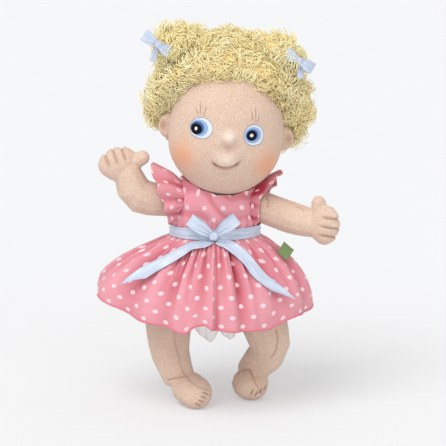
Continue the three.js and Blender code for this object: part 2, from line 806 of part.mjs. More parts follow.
// A place on the skirt. Turn is the share of a full turn from the front, and drop is the share of the fall
// below the waist.
function skirtPlace(turn, drop, lift = 0, folded = 1) {
    const angle = 2 * Math.PI * turn - Math.PI / 2;
    const c = Math.cos(angle);
    const s = Math.sin(angle);
    const sideLift = c < 0 ? skirtLiftRight : skirtLiftLeft;
    const hem = skirtHem + sideLift * Math.abs(c) ** 5 + skirtBackLift * Math.max(0, s);
    const seam = skirtTop - skirtTuck;
    const below = Math.max(0, drop);
    const height = seam - (seam - hem) * below - skirtTuck * Math.min(0, drop);
    const waist = torsoHalf(Math.max(height, seam));
    const ease = clothClearance + clothThickness / 2;
    const reachX = c < 0 ? skirtReachRight : skirtReachLeft;
    const reachY = s < 0 ? skirtReachFront : skirtReachBack;
    const flare = Math.sin((Math.PI / 2) * below ** (c < 0 ? 0.75 + 0.15 * Math.abs(c) ** 1.6 : 0.75));
    const halfX = waist.x + ease + (reachX - waist.x - ease) * flare;
    const halfY = waist.y + ease + (reachY - waist.y - ease) * flare;
    const fold = (Math.cos(skirtFolds * angle + 1.2 * Math.sin(3 * angle + 0.6)) - 1) / 2;
    const near = turn > 0.5 ? turn - 1 : turn;
    const overlap = smooth(-0.07, -0.012, near) * (1 - smooth(-0.004, 0.012, near));
    const swell = smooth(-0.12, -0.03, near) * (1 - smooth(0.01, 0.08, near));
    const depth = folded ? skirtFoldDepth * fold + frontPleat * overlap : frontPleat * swell;
    const radius = 1 / Math.hypot(c / halfX, s / halfY) + below ** 0.8 * depth + lift;
    return vec(radius * c, radius * s, height);
}

// The first row of the grid is the strip tucked behind the waist ribbon.
function skirt() {
    const surface = (u, v) => {
        const row = v * skirtRows - 1;
        return skirtPlace(u, row < 0 ? row : row / (skirtRows - 1));
    };
    return tube(surface, skirtColumns, skirtRows, clothThickness);
}

// A closed tube of cloth: a sheet whose two long edges are one.
function tube(surface, columns, rows, thickness) {
    const layers = [thickness / 2, -thickness / 2].map((push) => {
        const rings = [];
        for (let j = 0; j <= rows; j += 1) {
            for (let i = 0; i < columns; i += 1) {
                const u = i / columns;
                const v = j / rows;
                const along = surface(u + 1e-3, v).sub(surface(u - 1e-3, v));
                const down = surface(u, Math.min(v + 1e-3, 1)).sub(surface(u, Math.max(v - 1e-3, 0)));
                rings.push(surface(u, v).addScaledVector(along.cross(down).normalize(), push));
            }
        }
        return rings;
    });
    const count = layers[0].length;
    const at = (i, j) => j * columns + (i % columns);
    const faces = [];
    for (let i = 0; i < columns; i += 1) {
        for (let j = 0; j < rows; j += 1) {
            const [a, b, c, d] = [at(i, j), at(i + 1, j), at(i + 1, j + 1), at(i, j + 1)];
            faces.push([a, b, c], [a, c, d]);
            faces.push([a + count, c + count, b + count], [a + count, d + count, c + count]);
        }
        const [a, b] = [at(i, 0), at(i + 1, 0)];
        const [c, d] = [at(i, rows), at(i + 1, rows)];
        faces.push([b, a, a + count], [b, a + count, b + count]);
        faces.push([c, d, d + count], [c, d + count, c + count]);
    }
    return solid(outward(closedMesh([...layers[0], ...layers[1]], faces)));
}

// Waist ribbon, sewn round the waist seam, with a tied bow at the front.
const ribbonInner = clothOuter + seatGap;
const ribbonMiddle = waistHeight - skirtTuck + seatGap + ribbonWidth / 2;

function waistRibbon() {
    const band = box(throughCut, throughCut, ribbonWidth, 0, 0, ribbonMiddle);
    return shell(torsoSkin, ribbonInner, ribbonInner + ribbonThickness).intersect(band);
}

const bowKnot = vec(
    -bowAside,
    -(waistDepth / 2 + ribbonInner + ribbonThickness + seatGap + bowKnotSize * 0.4),
    ribbonMiddle,
);

function knotForm(centre, size) {
    return solid(new THREE.SphereGeometry(1, 12, 8).scale(size * 0.5, size * 0.4, size * 0.5)
        .translate(centre.x, centre.y, centre.z));
}

// A loop of ribbon that leaves the knot along a heading and comes back behind itself.
function ribbonLoop(centre, degrees, start, length, width, puff) {
    const angle = THREE.MathUtils.degToRad(degrees);
    const out = vec(Math.cos(angle), 0, Math.sin(angle));
    const across = vec(-Math.sin(angle), 0, Math.cos(angle));
    const open = 0.14 * Math.PI;
    const surface = (u, v) => {
        const turn = open + 2 * (Math.PI - open) * u;
        const along = start + ((length - start) * (Math.cos(open) - Math.cos(turn))) / (1 + Math.cos(open));
        const flare = 0.5 + 0.5 * smooth(0, 0.6 * length, along);
        return centre.clone()
            .addScaledVector(out, along)
            .addScaledVector(across, (v - 0.5) * width * flare)
            .add(vec(0, -puff * Math.sin(turn), 0));
    };
    return solid(sheet(surface, 12, 1, ribbonThickness));
}

// The direction straight out of the skirt at a place, taken over the crests of its folds.
function skirtNormal(turn, drop) {
    const step = 0.02;
    const along = skirtPlace(turn + step, drop, 0, 0).sub(skirtPlace(turn - step, drop, 0, 0));
    const down = skirtPlace(turn, drop + step, 0, 0).sub(skirtPlace(turn, Math.max(0, drop - step), 0, 0));
    return vec().crossVectors(down, along).normalize();
}

// A ribbon end that lies over the crests of the skirt's folds, from the knot to its slanted tip.
// Its route is a list of places on the skirt: turn from the front in degrees, and share of the drop.
function bowTail(route, slant) {
    const line = new THREE.CatmullRomCurve3(route.map(([turn, drop]) => vec(turn / 360, drop, 0)));
    const surface = (u, v) => {
        const t = u * (1 - tailSlant * Math.abs(v - slant));
        const place = line.getPoint(t);
        const next = line.getPoint(Math.min(1, t + 0.02));
        const before = line.getPoint(Math.max(0, t - 0.02));
        const [ahead, behind] = [next, before].map((p) => skirtPlace(p.x, p.y, 0, 0));
        const forward = ahead.sub(behind).normalize();
        const out = skirtNormal(place.x, place.y);
        const across = vec().crossVectors(forward, out).normalize();
        const width = bowTailWidth * (0.6 + 0.4 * smooth(0, 0.2, u));
        return skirtPlace(place.x, place.y, 0, 0)
            .addScaledVector(out, clothThickness / 2 + seatGap + ribbonThickness / 2)
            .addScaledVector(across, (v - 0.5) * width);
    };
    return solid(sheet(surface, 12, 2, ribbonThickness));
}

// A small bow tied round the foot of each hair bunch, its knot and two loops one piece of ribbon.
function hairBow(side) {
    const centre = vec(outwards(side) * hairBowAside - bunchAside, hairBowForward, hairBowRise);
    const lean = side === 'right' ? hairBowLeanDegrees : 180 - hairBowLeanDegrees;
    const loop = (turn) => {
        return ribbonLoop(centre, lean + turn, 0.5, hairBowSpan / 2, hairRibbonWidth, hairBowPuff);
    };
    return knotForm(centre, hairRibbonWidth * 0.8).add(loop(0)).add(loop(180));
}

// The woven label, bare, is a small square on its corner, caught to the skirt by its inner corner.
function wovenLabel() {
    const plate = new THREE.BoxGeometry(labelSide, ribbonThickness, labelSide).rotateY(Math.PI / 4);
    const hold = skirtPlace(labelTurnDegrees / 360, labelDrop, labelLift, 0);
    plate.translate(labelSide / Math.SQRT2, 0, 0);
    plate.rotateX(-THREE.MathUtils.degToRad(labelLeanDegrees));
    plate.rotateZ(THREE.MathUtils.degToRad(labelSwingDegrees));
    return solid(plate.translate(hold.x, hold.y, hold.z));
}

// The bodice closes down the back with a strip of hook-and-loop tape over the opening.
function backClosure() {
    const low = waistHeight + closureRise;
    const high = torsoTop - closureDrop;
    const strip = box(closureWidth, throughCut, high - low, 0, throughCut / 2, (low + high) / 2);
    return shell(torsoSkin, clothOuter + seatGap, clothOuter + seatGap + clothThickness).intersect(strip);
}

// Bloomers, gathered under the skirt by an elastic waist.
const bloomersTop = hipHeight + bloomersRise;

function bloomers() {
    const cloth = shell(torsoSkin, clothClearance, clothOuter);
    let legged = cloth.intersect(box(throughCut, throughCut, throughCut, 0, 0, bloomersTop - throughCut / 2));
    for (const side of sides) legged = legged.subtract(thighRoom(side, jointGap + clothThickness));
    return legged;
}

function bloomersElastic() {
    const middle = bloomersTop - elasticInset - elasticWidth / 2;
    const band = box(throughCut, throughCut, elasticWidth, 0, 0, middle);
    return shell(torsoSkin, clothOuter + seatGap, clothOuter + seatGap + ribbonThickness).intersect(band);
}

const headGroup = new THREE.Group();
headGroup.position.copy(headCentre);
headGroup.rotation.y = headTilt;
doll.add(headGroup);

add(doll, 'torso', torso(), skin);
add(doll, 'neck', solid(neckForm(0)), skin);
add(headGroup, 'head', head(), skin);
for (const side of sides) {
    add(headGroup, `${side}_ear`, ear(side), skin);
}
addEyes(headGroup);
addHair(headGroup);
for (const side of sides) {
    add(doll, `${side}_shoulder_seam`, shoulderSeam(side), '#cfae92');
    add(doll, `${side}_arm`, arm(side), skin);
    add(doll, `${side}_leg`, leg(side), skin);
    add(doll, `${side}_sleeve`, sleeve(side), dressPink);
}
add(doll, 'bodice', bodice(), dressPink);
add(doll, 'skirt', skirt(), dressPink);
add(doll, 'waist_ribbon', waistRibbon(), ribbonBlue);
add(doll, 'bow_knot', knotForm(bowKnot, bowKnotSize), ribbonBlue);
for (const side of sides) {
    const root = bowKnotSize / 2 + seatGap;
    const loop = ribbonLoop(bowKnot, bowLoopDegrees[side], root, bowLoopLength, bowLoopWidth, bowPuff);
    add(doll, `${side}_bow_loop`, loop, ribbonBlue);
}
const tails = {
    right: {
        route: [[-11, 0.04], [-22, 0.05], [-33, 0.08], [-42, 0.16], [-54, 0.34], [-61, 0.58]],
        slant: 1,
    },
    left: { route: [[9, 0.04], [16, 0.06], [27, 0.15], [34, 0.26], [45, 0.53], [50, 0.67]], slant: 0 },
};
for (const side of sides) {
    add(doll, `${side}_bow_tail`, bowTail(tails[side].route, tails[side].slant), ribbonBlue);
    add(headGroup, `${side}_hair_bow`, hairBow(side), ribbonBlue);
}
add(doll, 'woven_label', wovenLabel(), '#869b6b');
add(doll, 'back_closure', backClosure(), '#f1dfe0');
add(doll, 'bloomers', bloomers(), '#efece8');
add(doll, 'bloomers_elastic', bloomersElastic(), '#f4f2ee');

// The origin is the middle of the foot of the doll's box.
const bounds = new THREE.Box3().setFromObject(doll, true);
const foot = bounds.getCenter(vec()).setZ(bounds.min.z);
for (const child of doll.children) child.position.sub(foot);

export default doll;
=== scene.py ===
# A stuffed cloth doll in a dotted dress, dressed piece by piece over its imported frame.
# Sizes are written in millimetres and turned to metres where the meshes are made.
import json
import math

import bmesh
import bpy
import numpy as np
from mathutils import Matrix, Vector
from mathutils.bvhtree import BVHTree
from mathutils.kdtree import KDTree


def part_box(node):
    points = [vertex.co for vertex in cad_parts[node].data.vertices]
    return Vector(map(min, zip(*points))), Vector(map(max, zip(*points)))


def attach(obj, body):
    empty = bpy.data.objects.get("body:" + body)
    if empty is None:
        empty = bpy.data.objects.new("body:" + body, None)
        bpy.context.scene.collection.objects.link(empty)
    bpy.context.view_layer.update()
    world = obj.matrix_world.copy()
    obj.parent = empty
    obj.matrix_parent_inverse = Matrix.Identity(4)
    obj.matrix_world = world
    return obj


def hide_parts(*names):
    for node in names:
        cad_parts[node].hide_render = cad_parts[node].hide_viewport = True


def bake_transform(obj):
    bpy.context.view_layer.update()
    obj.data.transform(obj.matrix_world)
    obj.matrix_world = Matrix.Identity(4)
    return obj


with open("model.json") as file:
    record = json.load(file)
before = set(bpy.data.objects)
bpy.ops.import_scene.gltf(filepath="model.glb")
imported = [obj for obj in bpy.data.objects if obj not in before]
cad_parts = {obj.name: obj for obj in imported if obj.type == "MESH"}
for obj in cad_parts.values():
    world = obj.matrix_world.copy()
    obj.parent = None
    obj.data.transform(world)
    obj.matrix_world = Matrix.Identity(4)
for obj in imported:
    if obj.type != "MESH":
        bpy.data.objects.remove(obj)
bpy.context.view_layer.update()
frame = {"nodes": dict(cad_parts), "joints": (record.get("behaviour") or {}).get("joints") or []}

joints = {joint["name"]: joint for joint in frame["joints"]}

# The picture: a plain pale paper floor that runs out of sight, soft light from a big overhead
# source and from all round, and a camera a little above the doll, as in the photograph.
MM = 0.001


def linear(code):
    """The linear colour of an sRGB hex value."""
    parts = [int(code[i:i + 2], 16) / 255 for i in (1, 3, 5)]
    return tuple(c / 12.92 if c <= 0.04045 else ((c + 0.055) / 1.055) ** 2.4 for c in parts) + (1.0,)


def add(tree, kind, inputs=(), **settings):
    """A new node: its settings are set, and each input is set, or linked if its value is a socket."""
    node = tree.nodes.new(kind)
    for name, value in settings.items():
        setattr(node, name, value)
    for name, value in dict(inputs).items():
        if isinstance(value, bpy.types.NodeSocket):
            tree.links.new(value, node.inputs[name])
        else:
            node.inputs[name].default_value = value
    return node


def new_material(name, **sockets):
    """A material with its own shader, whose constant sockets are given by name."""
    material = bpy.data.materials.new(name)
    material.use_nodes = True
    shader = material.node_tree.nodes["Principled BSDF"]
    for socket, value in sockets.items():
        shader.inputs[socket.replace("_", " ")].default_value = value
    return material, material.node_tree, shader


def linked(obj):
    """An object, put into the scene."""
    bpy.context.scene.collection.objects.link(obj)
    return obj


# The camera sees the paper as mostly its even white and partly its shading, so that only the contact
# shadow shows. Every other ray meets plain white paper.
PAPER_EVENNESS = 0.36
paper, tree, shader = new_material("matt_backdrop_paper", Roughness=0.9)
shader.inputs["Specular IOR Level"].default_value = 0.1
fibres = add(tree, "ShaderNodeTexNoise", {"Scale": 400.0, "Detail": 2.0})
tint = add(tree, "ShaderNodeMixRGB", {
    "Fac": fibres.outputs["Fac"], "Color1": linear("#ebecee"), "Color2": linear("#e9eaec")})
tree.links.new(tint.outputs["Color"], shader.inputs["Base Color"])
even_white = add(tree, "ShaderNodeEmission", {"Color": linear("#f7f7f7")})
seen = add(tree, "ShaderNodeMath", {
    0: add(tree, "ShaderNodeLightPath").outputs["Is Camera Ray"], 1: PAPER_EVENNESS}, operation="MULTIPLY")
shown = add(tree, "ShaderNodeMixShader", {
    0: seen.outputs[0], 1: shader.outputs["BSDF"], 2: even_white.outputs["Emission"]})
tree.links.new(shown.outputs["Shader"], tree.nodes["Material Output"].inputs["Surface"])

floor_half = 12.0
floor_mesh = bpy.data.meshes.new("floor")
floor_corners = [(x * floor_half, y * floor_half, 0) for x, y in ((-1, -1), (1, -1), (1, 1), (-1, 1))]
floor_mesh.from_pydata(floor_corners, [], [(0, 1, 2, 3)])
floor = linked(bpy.data.objects.new("floor", floor_mesh))
floor.data.materials.append(paper)

world = bpy.data.worlds.new("soft_room_light")
bpy.context.scene.world = world
world.use_nodes = True
sky = world.node_tree.nodes["Background"]
sky.inputs["Color"].default_value = linear("#ffffff")
sky.inputs["Strength"].default_value = 0.62


def soft_sun(name, strength, spread_degrees, from_point):
    """A lamp with parallel light from a wide disc of sky, which shines from a point to the doll."""
    lamp = bpy.data.lights.new(name, "SUN")
    lamp.energy = strength
    lamp.angle = math.radians(spread_degrees)
    obj = linked(bpy.data.objects.new(name, lamp))
    obj.rotation_euler = Vector(from_point).to_track_quat("Z", "Y").to_euler()
    return obj


soft_sun("overhead_softbox", 1.65, 40, (-0.6, -0.8, 1.5))
soft_sun("front_softbox", 0.65, 60, (0.5, -1.6, 0.6))

picture_target = Vector((0.00458, 0.00148, 0.1563))
camera_distance = 1.53
camera_elevation = math.radians(12)
camera = linked(bpy.data.objects.new("camera", bpy.data.cameras.new("camera")))
camera.data.lens = 145.3
camera.data.sensor_width = 36
back = Vector((0, -math.cos(camera_elevation), math.sin(camera_elevation)))
camera.location = picture_target + back * camera_distance
camera.rotation_euler = back.to_track_quat("Z", "Y").to_euler()
bpy.context.scene.camera = camera
bpy.context.scene.view_settings.view_transform = "Standard"

# Skin: brushed cotton jersey, knitted fine and raised to a short nap that hides its loops. The nap
# scatters the light, so it looks soft and a little grainy. It has a painted highlight on the nose and
# the upper lip, painted shade in its creases, grooves and hollows, and blush dabbed on the cheeks.

# A real nap is grained at 0.3 mm. It is drawn coarser, so that it shows at the picture's size.
NAP_GRAIN = 1.0
NAP_PATCH = 14.0

skin, tree, shader = new_material("brushed_jersey", Roughness=0.9, Sheen_Weight=0.25, Sheen_Roughness=0.5)
shader.inputs["Specular IOR Level"].default_value = 0.15
place = add(tree, "ShaderNodeTexCoord").outputs["Object"]
patches = add(tree, "ShaderNodeTexNoise", {"Vector": place, "Scale": 1 / (NAP_PATCH * MM), "Detail": 2.0})
grain = add(tree, "ShaderNodeTexNoise", {
    "Vector": place, "Scale": 1 / (NAP_GRAIN * MM), "Detail": 3.0, "Roughness": 0.75})
base = add(tree, "ShaderNodeMixRGB", {
    "Fac": patches.outputs["Fac"], "Color1": linear("#dfc4b0"), "Color2": linear("#ead4c2")})
speckle = add(tree, "ShaderNodeMapRange", {
    "Value": grain.outputs["Fac"], "From Min": 0.4, "From Max": 0.64, "To Min": 0.0, "To Max": 0.75})
grained = add(tree, "ShaderNodeMixRGB", {
    "Fac": speckle.outputs["Result"], "Color1": base.outputs["Color"], "Color2": linear("#c7a18a")})
blush = add(tree, "ShaderNodeAttribute", attribute_name="blush")
rouged = add(tree, "ShaderNodeMixRGB", {
    "Fac": blush.outputs["Fac"], "Color1": grained.outputs["Color"], "Color2": linear("#eaa57c")})
# This attribute holds painted shade, darker in creases, grooves and hollows and along seams.
crease_shade = add(tree, "ShaderNodeAttribute", attribute_name="crease_shade")
crease_shaded = add(tree, "ShaderNodeMixRGB", {
    "Fac": crease_shade.outputs["Fac"], "Color1": rouged.outputs["Color"], "Color2": linear("#a06f55")})
# This attribute holds a painted highlight on the nose and the upper lip.
stretched = add(tree, "ShaderNodeAttribute", attribute_name="stretched")
highlighted = add(tree, "ShaderNodeMixRGB", {
    "Fac": stretched.outputs["Fac"], "Color1": crease_shaded.outputs["Color"], "Color2": linear("#fbeee2")})
tree.links.new(highlighted.outputs["Color"], shader.inputs["Base Color"])
nap = add(tree, "ShaderNodeBump", {"Height": grain.outputs["Fac"], "Strength": 0.8, "Distance": 0.6 * MM})
tree.links.new(nap.outputs["Normal"], shader.inputs["Normal"])


def smooth(low, high, value):
    """0 up to low, 1 from high, and a smooth step between them."""
    share = np.clip((value - low) / (high - low), 0, 1)
    return share * share * (3 - 2 * share)


def points_of(mesh):
    """The places of a mesh's points, one row each, in metres."""
    flat = np.empty(len(mesh.vertices) * 3)
    mesh.vertices.foreach_get("co", flat)
    return flat.reshape(-1, 3)


def normals_of(mesh):
    """The directions out of a mesh at its points, one row each."""
    flat = np.empty(len(mesh.vertices) * 3)
    mesh.vertex_normals.foreach_get("vector", flat)
    return flat.reshape(-1, 3)


def move_points(mesh, points):
    """Puts a mesh's points at new places."""
    mesh.vertices.foreach_set("co", np.asarray(points, dtype=np.float32).ravel())
    mesh.update()


def paint(mesh, name, values):
    """A value for each point of a mesh, which its material reads by name."""
    attribute = mesh.attributes.get(name) or mesh.attributes.new(name, "FLOAT", "POINT")
    attribute.data.foreach_set("value", np.asarray(values, dtype=np.float32))


def new_piece(name, points, faces, material):
    """A smooth-shaded mesh from points in metres."""
    mesh = bpy.data.meshes.new(name)
    mesh.from_pydata([tuple(p) for p in points], [], [tuple(f) for f in faces])
    mesh.shade_smooth()
    mesh.materials.append(material)
    return linked(bpy.data.objects.new(name, mesh))


def remade(node, name, material, voxel, rounds):
    """A fine copy of a frame node's mesh, in faces of the size voxel in millimetres, eased by rounds."""
    piece = linked(bpy.data.objects.new(name, frame["nodes"][node].data.copy()))
    skinning = piece.modifiers.new("skinning", "REMESH")
    skinning.mode = "VOXEL"
    skinning.voxel_size = voxel * MM
    easing = piece.modifiers.new("easing", "SMOOTH")
    easing.iterations = rounds
    depsgraph = bpy.context.evaluated_depsgraph_get()
    mesh = bpy.data.meshes.new_from_object(piece.evaluated_get(depsgraph))
    piece.modifiers.clear()
    piece.data = mesh
    mesh.name = name
    mesh.materials.clear()
    mesh.materials.append(material)
    mesh.shade_smooth()
    return piece


# Head: jersey sewn over a firm ball of filling, with full cheeks, a small nose pinched up by a hidden
# thread, and a smile that a second thread pulls in under a puffed upper lip. It is sewn onto the neck.
HEAD_HALF = np.array([48.0, 43.0, 56.0])
head_tilt = math.radians(6.5)
head_low, head_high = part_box("head")
head_centre = Vector((
    (head_low.x + head_high.x) / 2, head_high.y - HEAD_HALF[1] * MM, (head_low.z + head_high.z) / 2))
head_frame = Matrix.Translation(head_centre) @ Matrix.Rotation(head_tilt, 4, "Y") @ Matrix.Scale(MM, 4)
# Heights of the face's forms, in millimetres, each with its middle and its reach across and up.
FACE_FORMS = {
    "right_cheek": (1.6, (-27, -20, 15, 13)),
    "left_cheek": (1.6, (30, -21, 15, 13)),
    "under_the_nose": (-0.8, (2.1, -9.4, 5, 2.4)),
    "right_eye_hollow": (-1.1, (-21, 4, 13, 12)),
    "left_eye_hollow": (-1.1, (22, 3, 13, 12)),
    "chin_dimple": (-1.2, (2, -33.5, 3, 2.5)),
}
# Where the cheeks are dabbed, where a highlight is painted on the nose and lip, and where shade is painted
# under the nose, as above.
BLUSH = ((-34.5, -22, 11, 12), (36.5, -23, 10, 13))
NOSE_HIGHLIGHT = (2.6, 0.8, 4.6, 3.4)
LIP_HIGHLIGHT = (2.1, -18.5, 6.0, 4.0)
UNDER_NOSE_SHADE = (1.6, -8.6, 2.4, 2.2)
NOSE_HEIGHT = 4.6
NOSE_MIDDLE = (1.9, -1.2)
NOSE_HALF = (5.6, 5.4)
LIP_HEIGHT = 2.9
MOUTH_MIDDLE = 2.1
MOUTH_HEIGHT = -26.6
MOUTH_HALF = 9.2
SMILE_RISE = 3.4
SMILE_SLANT = 1.2
SMILE_DEPTH = 2.4
SEAM_MIDDLE = 1.3
SEAM_DEPTH = 0.3
JAW_FULLNESS = 0.05


def ball(rounds):
    """The points and faces of a fine unit ball."""
    shape = bmesh.new()
    bmesh.ops.create_icosphere(shape, subdivisions=rounds, radius=1)
    points = np.array([v.co for v in shape.verts])
    faces = [[v.index for v in face.verts] for face in shape.faces]
    shape.free()
    return points, faces


def dent(x, z, at_x, at_z, reach_x, reach_z):
    """A soft round bump, 1 at its middle, over places on the face."""
    return np.exp(-((x - at_x) / reach_x) ** 2 - ((z - at_z) / reach_z) ** 2)


def mouth_line(x):
    """The height of the smile at x, in the head's own millimetres."""
    share = (x - MOUTH_MIDDLE) / MOUTH_HALF
    return MOUTH_HEIGHT + SMILE_RISE * share ** 2 + SMILE_SLANT * share


unit, faces = ball(7)
jaw = 1 + JAW_FULLNESS * np.exp(-((unit[:, 2] + 0.55) / 0.33) ** 2)
points = unit * HEAD_HALF
points[:, 0] *= jaw
outward = unit / HEAD_HALF
outward /= np.linalg.norm(outward, axis=1)[:, None]
x, z = points[:, 0], points[:, 2]
front = smooth(0.1, 0.55, -unit[:, 1])
across = np.abs(x - MOUTH_MIDDLE) / MOUTH_HALF
above = z - mouth_line(x)
swell = sum(height * dent(x, z, *spot) for height, spot in FACE_FORMS.values())
from_nose = ((x - NOSE_MIDDLE[0]) / NOSE_HALF[0]) ** 2 + ((z - NOSE_MIDDLE[1]) / NOSE_HALF[1]) ** 2
nose = np.exp(-from_nose ** 1.3)
lip = np.exp(-((across / 1.1) ** 4)) * smooth(0, 3.5, above) * (1 - smooth(7, 15, above))
smile = np.exp(-(above / 1.1) ** 2) * (1 - smooth(0.95, 1.2, across))
forehead_seam = np.exp(-((x - SEAM_MIDDLE) / 0.9) ** 2) * smooth(26, 34, z) * (1 - smooth(50, 54, z))
swell += NOSE_HEIGHT * nose + LIP_HEIGHT * lip - SMILE_DEPTH * smile - SEAM_DEPTH * forehead_seam
points = points + outward * (swell * front)[:, None]
face_surface = BVHTree.FromPolygons(points.tolist(), faces)
head = new_piece("head_skin", points, faces, skin)
cheeks = sum(dent(x, z, *spot) for spot in BLUSH)
paint(head.data, "blush", 0.85 * cheeks * smooth(0.02, 0.3, -unit[:, 1]))
# Painted shade in the smile, at the mouth's corners, under the nose and along the forehead seam.
corners = np.exp(-((across - 1.05) / 0.24) ** 2 - ((above - 0.3) / 1.9) ** 2)
paint(head.data, "crease_shade", front * np.clip(
    0.55 * smile + 0.6 * corners + 0.25 * dent(x, z, *UNDER_NOSE_SHADE) + 0.1 * forehead_seam, 0, 1))
# A painted highlight on the nose and the upper lip.
paint(head.data, "stretched", front * (0.6 * dent(x, z, *NOSE_HIGHLIGHT) + 0.4 * dent(x, z, *LIP_HIGHLIGHT)))
head.data.transform(head_frame)
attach(head, "head_group")
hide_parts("head")

# Ears: small half ovals of jersey, each sewn from two layers, turned, lightly stuffed and sewn flat to the
# side of the head. A stitch through the middle pulls a hollow in the front.
EAR_HALF = np.array([9.0, 7.0, 10.5])
EAR_HOLLOW = 3.2
EAR_BACK = 3.0
EAR_DROP = 3.0
SIDES = (("right", -1), ("left", 1))
for side, way in SIDES:
    unit, faces = ball(5)
    points = unit * EAR_HALF
    hollow = np.exp(-((unit[:, 0] * way - 0.55) / 0.45) ** 2 - (unit[:, 2] / 0.5) ** 2)
    hollow *= smooth(0.2, 0.8, -unit[:, 1])
    points[:, 1] += EAR_HOLLOW * hollow
    points += np.array([way * HEAD_HALF[0], EAR_BACK, -EAR_DROP])
    ear = new_piece(f"{side}_ear_skin", points, faces, skin)
    # Painted shade in the ear's hollow.
    paint(ear.data, "crease_shade", 0.55 * hollow)
    ear.data.transform(head_frame)
    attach(ear, "head_group")
    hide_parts(f"{side}_ear")

# Body and neck: firm jersey bags of fibre filling, closed by hand. The neck is a short column sewn into
# the top of the body, and the seat of the body is drawn up between the legs.
SEAT_RISE = 14.0
SEAT_HEIGHTS = (54, 84)
for node, name, body in (("torso", "torso_skin", "trunk"), ("neck", "neck_skin", "neck_column")):
    piece = remade(node, name, skin, 1.6, 10)
    if node == "torso":
        spots = points_of(piece.data)
        spots[:, 2] += SEAT_RISE * (1 - smooth(*SEAT_HEIGHTS, spots[:, 2] / MM)) * MM
        move_points(piece.data, spots)
    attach(piece, body)
    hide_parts(node)

# Arms: jersey tubes stuffed firm and bent at the elbow. The finger ends are stitched apart right through
# the filling, which pulls three grooves in the hand, and the thumb stands off by itself.
UPPER_ARM = 29.0
FOREARM = 19.0
HAND_LENGTH = 27.0
HAND_WIDTH = 36.0
FINGER_LINES = (-0.22, 0.0, 0.22)
FINGER_GROOVE = 2.3
# Small tucks of the skin, each through places of the picture, in its pixels.
ARM_TUCKS = {"right": [], "left": [[(296.5, 206), (304.5, 210)], [(266, 196), (268, 201), (267, 207)]]}
PICTURE_PIXELS = 446
# How each part of an arm leans, in degrees, and how far the middle finger is from the hand's middle.
ARM_POSE = {
    "right": {"upper": 168, "fore": 114, "hand": 110, "aside": 5.0, "forward": 6},
    "left": {"upper": -13, "fore": -8, "hand": -8, "aside": 1.5, "forward": 30},
}
# The thread that closes and shapes the skin: a soft twist, browner than the jersey, so that a seam shows
# as a fine dull line.
seam_thread, tree, shader = new_material("skin_coloured_thread", Roughness=0.6)
twist = add(tree, "ShaderNodeTexNoise", {
    "Vector": add(tree, "ShaderNodeTexCoord").outputs["Object"], "Scale": 1 / (0.8 * MM), "Detail": 2.0})
ply = add(tree, "ShaderNodeMixRGB", {
    "Fac": twist.outputs["Fac"], "Color1": linear("#ab876d"), "Color2": linear("#c8a388")})
tree.links.new(ply.outputs["Color"], shader.inputs["Base Color"])


def heading(degrees, forward):
    """A unit direction in the doll's upright plane, swung forward."""
    angle, swing = math.radians(degrees), math.radians(forward)
    flat = math.cos(angle)
    return np.array([flat * math.cos(swing), -abs(flat) * math.sin(swing), math.sin(angle)])


def tubes(paths, radii, axes, sides):
    """The points and faces of thin tubes along many paths of as many points each. Axes are square to them."""
    count, length = paths.shape[:2]
    along = np.gradient(paths, axis=1)
    across = np.cross(along, axes)
    across /= np.linalg.norm(across, axis=2)[:, :, None] + 1e-12
    up = np.cross(across, along)
    up /= np.linalg.norm(up, axis=2)[:, :, None] + 1e-12
    turn = 2 * math.pi * np.arange(sides) / sides
    ring = np.cos(turn)[:, None] * across[:, :, None, :] + np.sin(turn)[:, None] * up[:, :, None, :]
    points = (paths[:, :, None, :] + radii[:, :, None, None] * ring).reshape(-1, 3)
    start = np.arange(count)[:, None, None] * length * sides
    step = np.arange(length - 1)[None, :, None] * sides
    side = np.arange(sides)[None, None, :]
    here = start + step + side
    there = start + step + (side + 1) % sides
    quads = np.stack([here + sides, there + sides, there, here], axis=-1).reshape(-1, 4)
    first = start[:, :, 0] + np.arange(sides)
    final = start[:, :, 0] + (length - 1) * sides + np.arange(sides)[::-1]
    return points, quads.tolist() + first.tolist() + final.tolist()


def on_surface(surface, start, way):
    """Where a line from a start point meets a surface, and the direction out of it there."""
    spot, normal, _, _ = surface.ray_cast(Vector(start), Vector(way))
    return None if spot is None else (np.array(spot), np.array(normal))


def laid_over(hits):
    """One line a little proud of a surface, in a list, or none where a part of it misses the surface."""
    met = all(hit is not None for hit in hits)
    return [[spot + normal * 0.1 * MM for spot, normal in hits]] if met else []


def stitch_line(surface, ends, way, steps):
    """A stitch laid over a surface between two points, seen along a direction. All are in metres."""
    first, last = ends
    return laid_over([on_surface(surface, first + (last - first) * s, way) for s in np.linspace(0, 1, steps)])


def sewn(name, paths, radius, body):
    """Threads along paths that stand half sunk in the skin and ride with a body."""
    paths = np.array(paths, dtype=float)
    taper = np.sin(np.linspace(0.25, math.pi - 0.25, paths.shape[1])) ** 0.5
    points, faces = tubes(
        paths, np.broadcast_to(radius * MM * taper, paths.shape[:2]),
        np.broadcast_to(np.array([0.31, 0.9, 0.31]), paths.shape), 6)
    piece = new_piece(name, points, faces, seam_thread)
    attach(piece, body)
    return piece


def surface_of(mesh):
    """A mesh as a surface that lines of sight can meet."""
    return BVHTree.FromPolygons(points_of(mesh).tolist(), [list(face.vertices) for face in mesh.polygons])


def sight(spot):
    """The line from the camera through a place of the picture, in pixels from its top left corner."""
    half = PICTURE_PIXELS / 2
    size = camera.data.sensor_width / camera.data.lens / PICTURE_PIXELS
    upward = np.array([0, math.sin(camera_elevation), math.cos(camera_elevation)])
    aside = np.array([1.0, 0, 0])
    way = -np.array(back) + aside * (spot[0] - half) * size - upward * (spot[1] - half) * size
    return np.array(camera.location), way / np.linalg.norm(way)


def traced(surface, places, steps):
    """A line over a surface through places of the picture."""
    places = np.array(places, dtype=float)
    at = np.linspace(0, len(places) - 1, steps)
    line = np.stack([np.interp(at, range(len(places)), places[:, i]) for i in (0, 1)], axis=1)
    return laid_over([on_surface(surface, *sight(place)) for place in line])


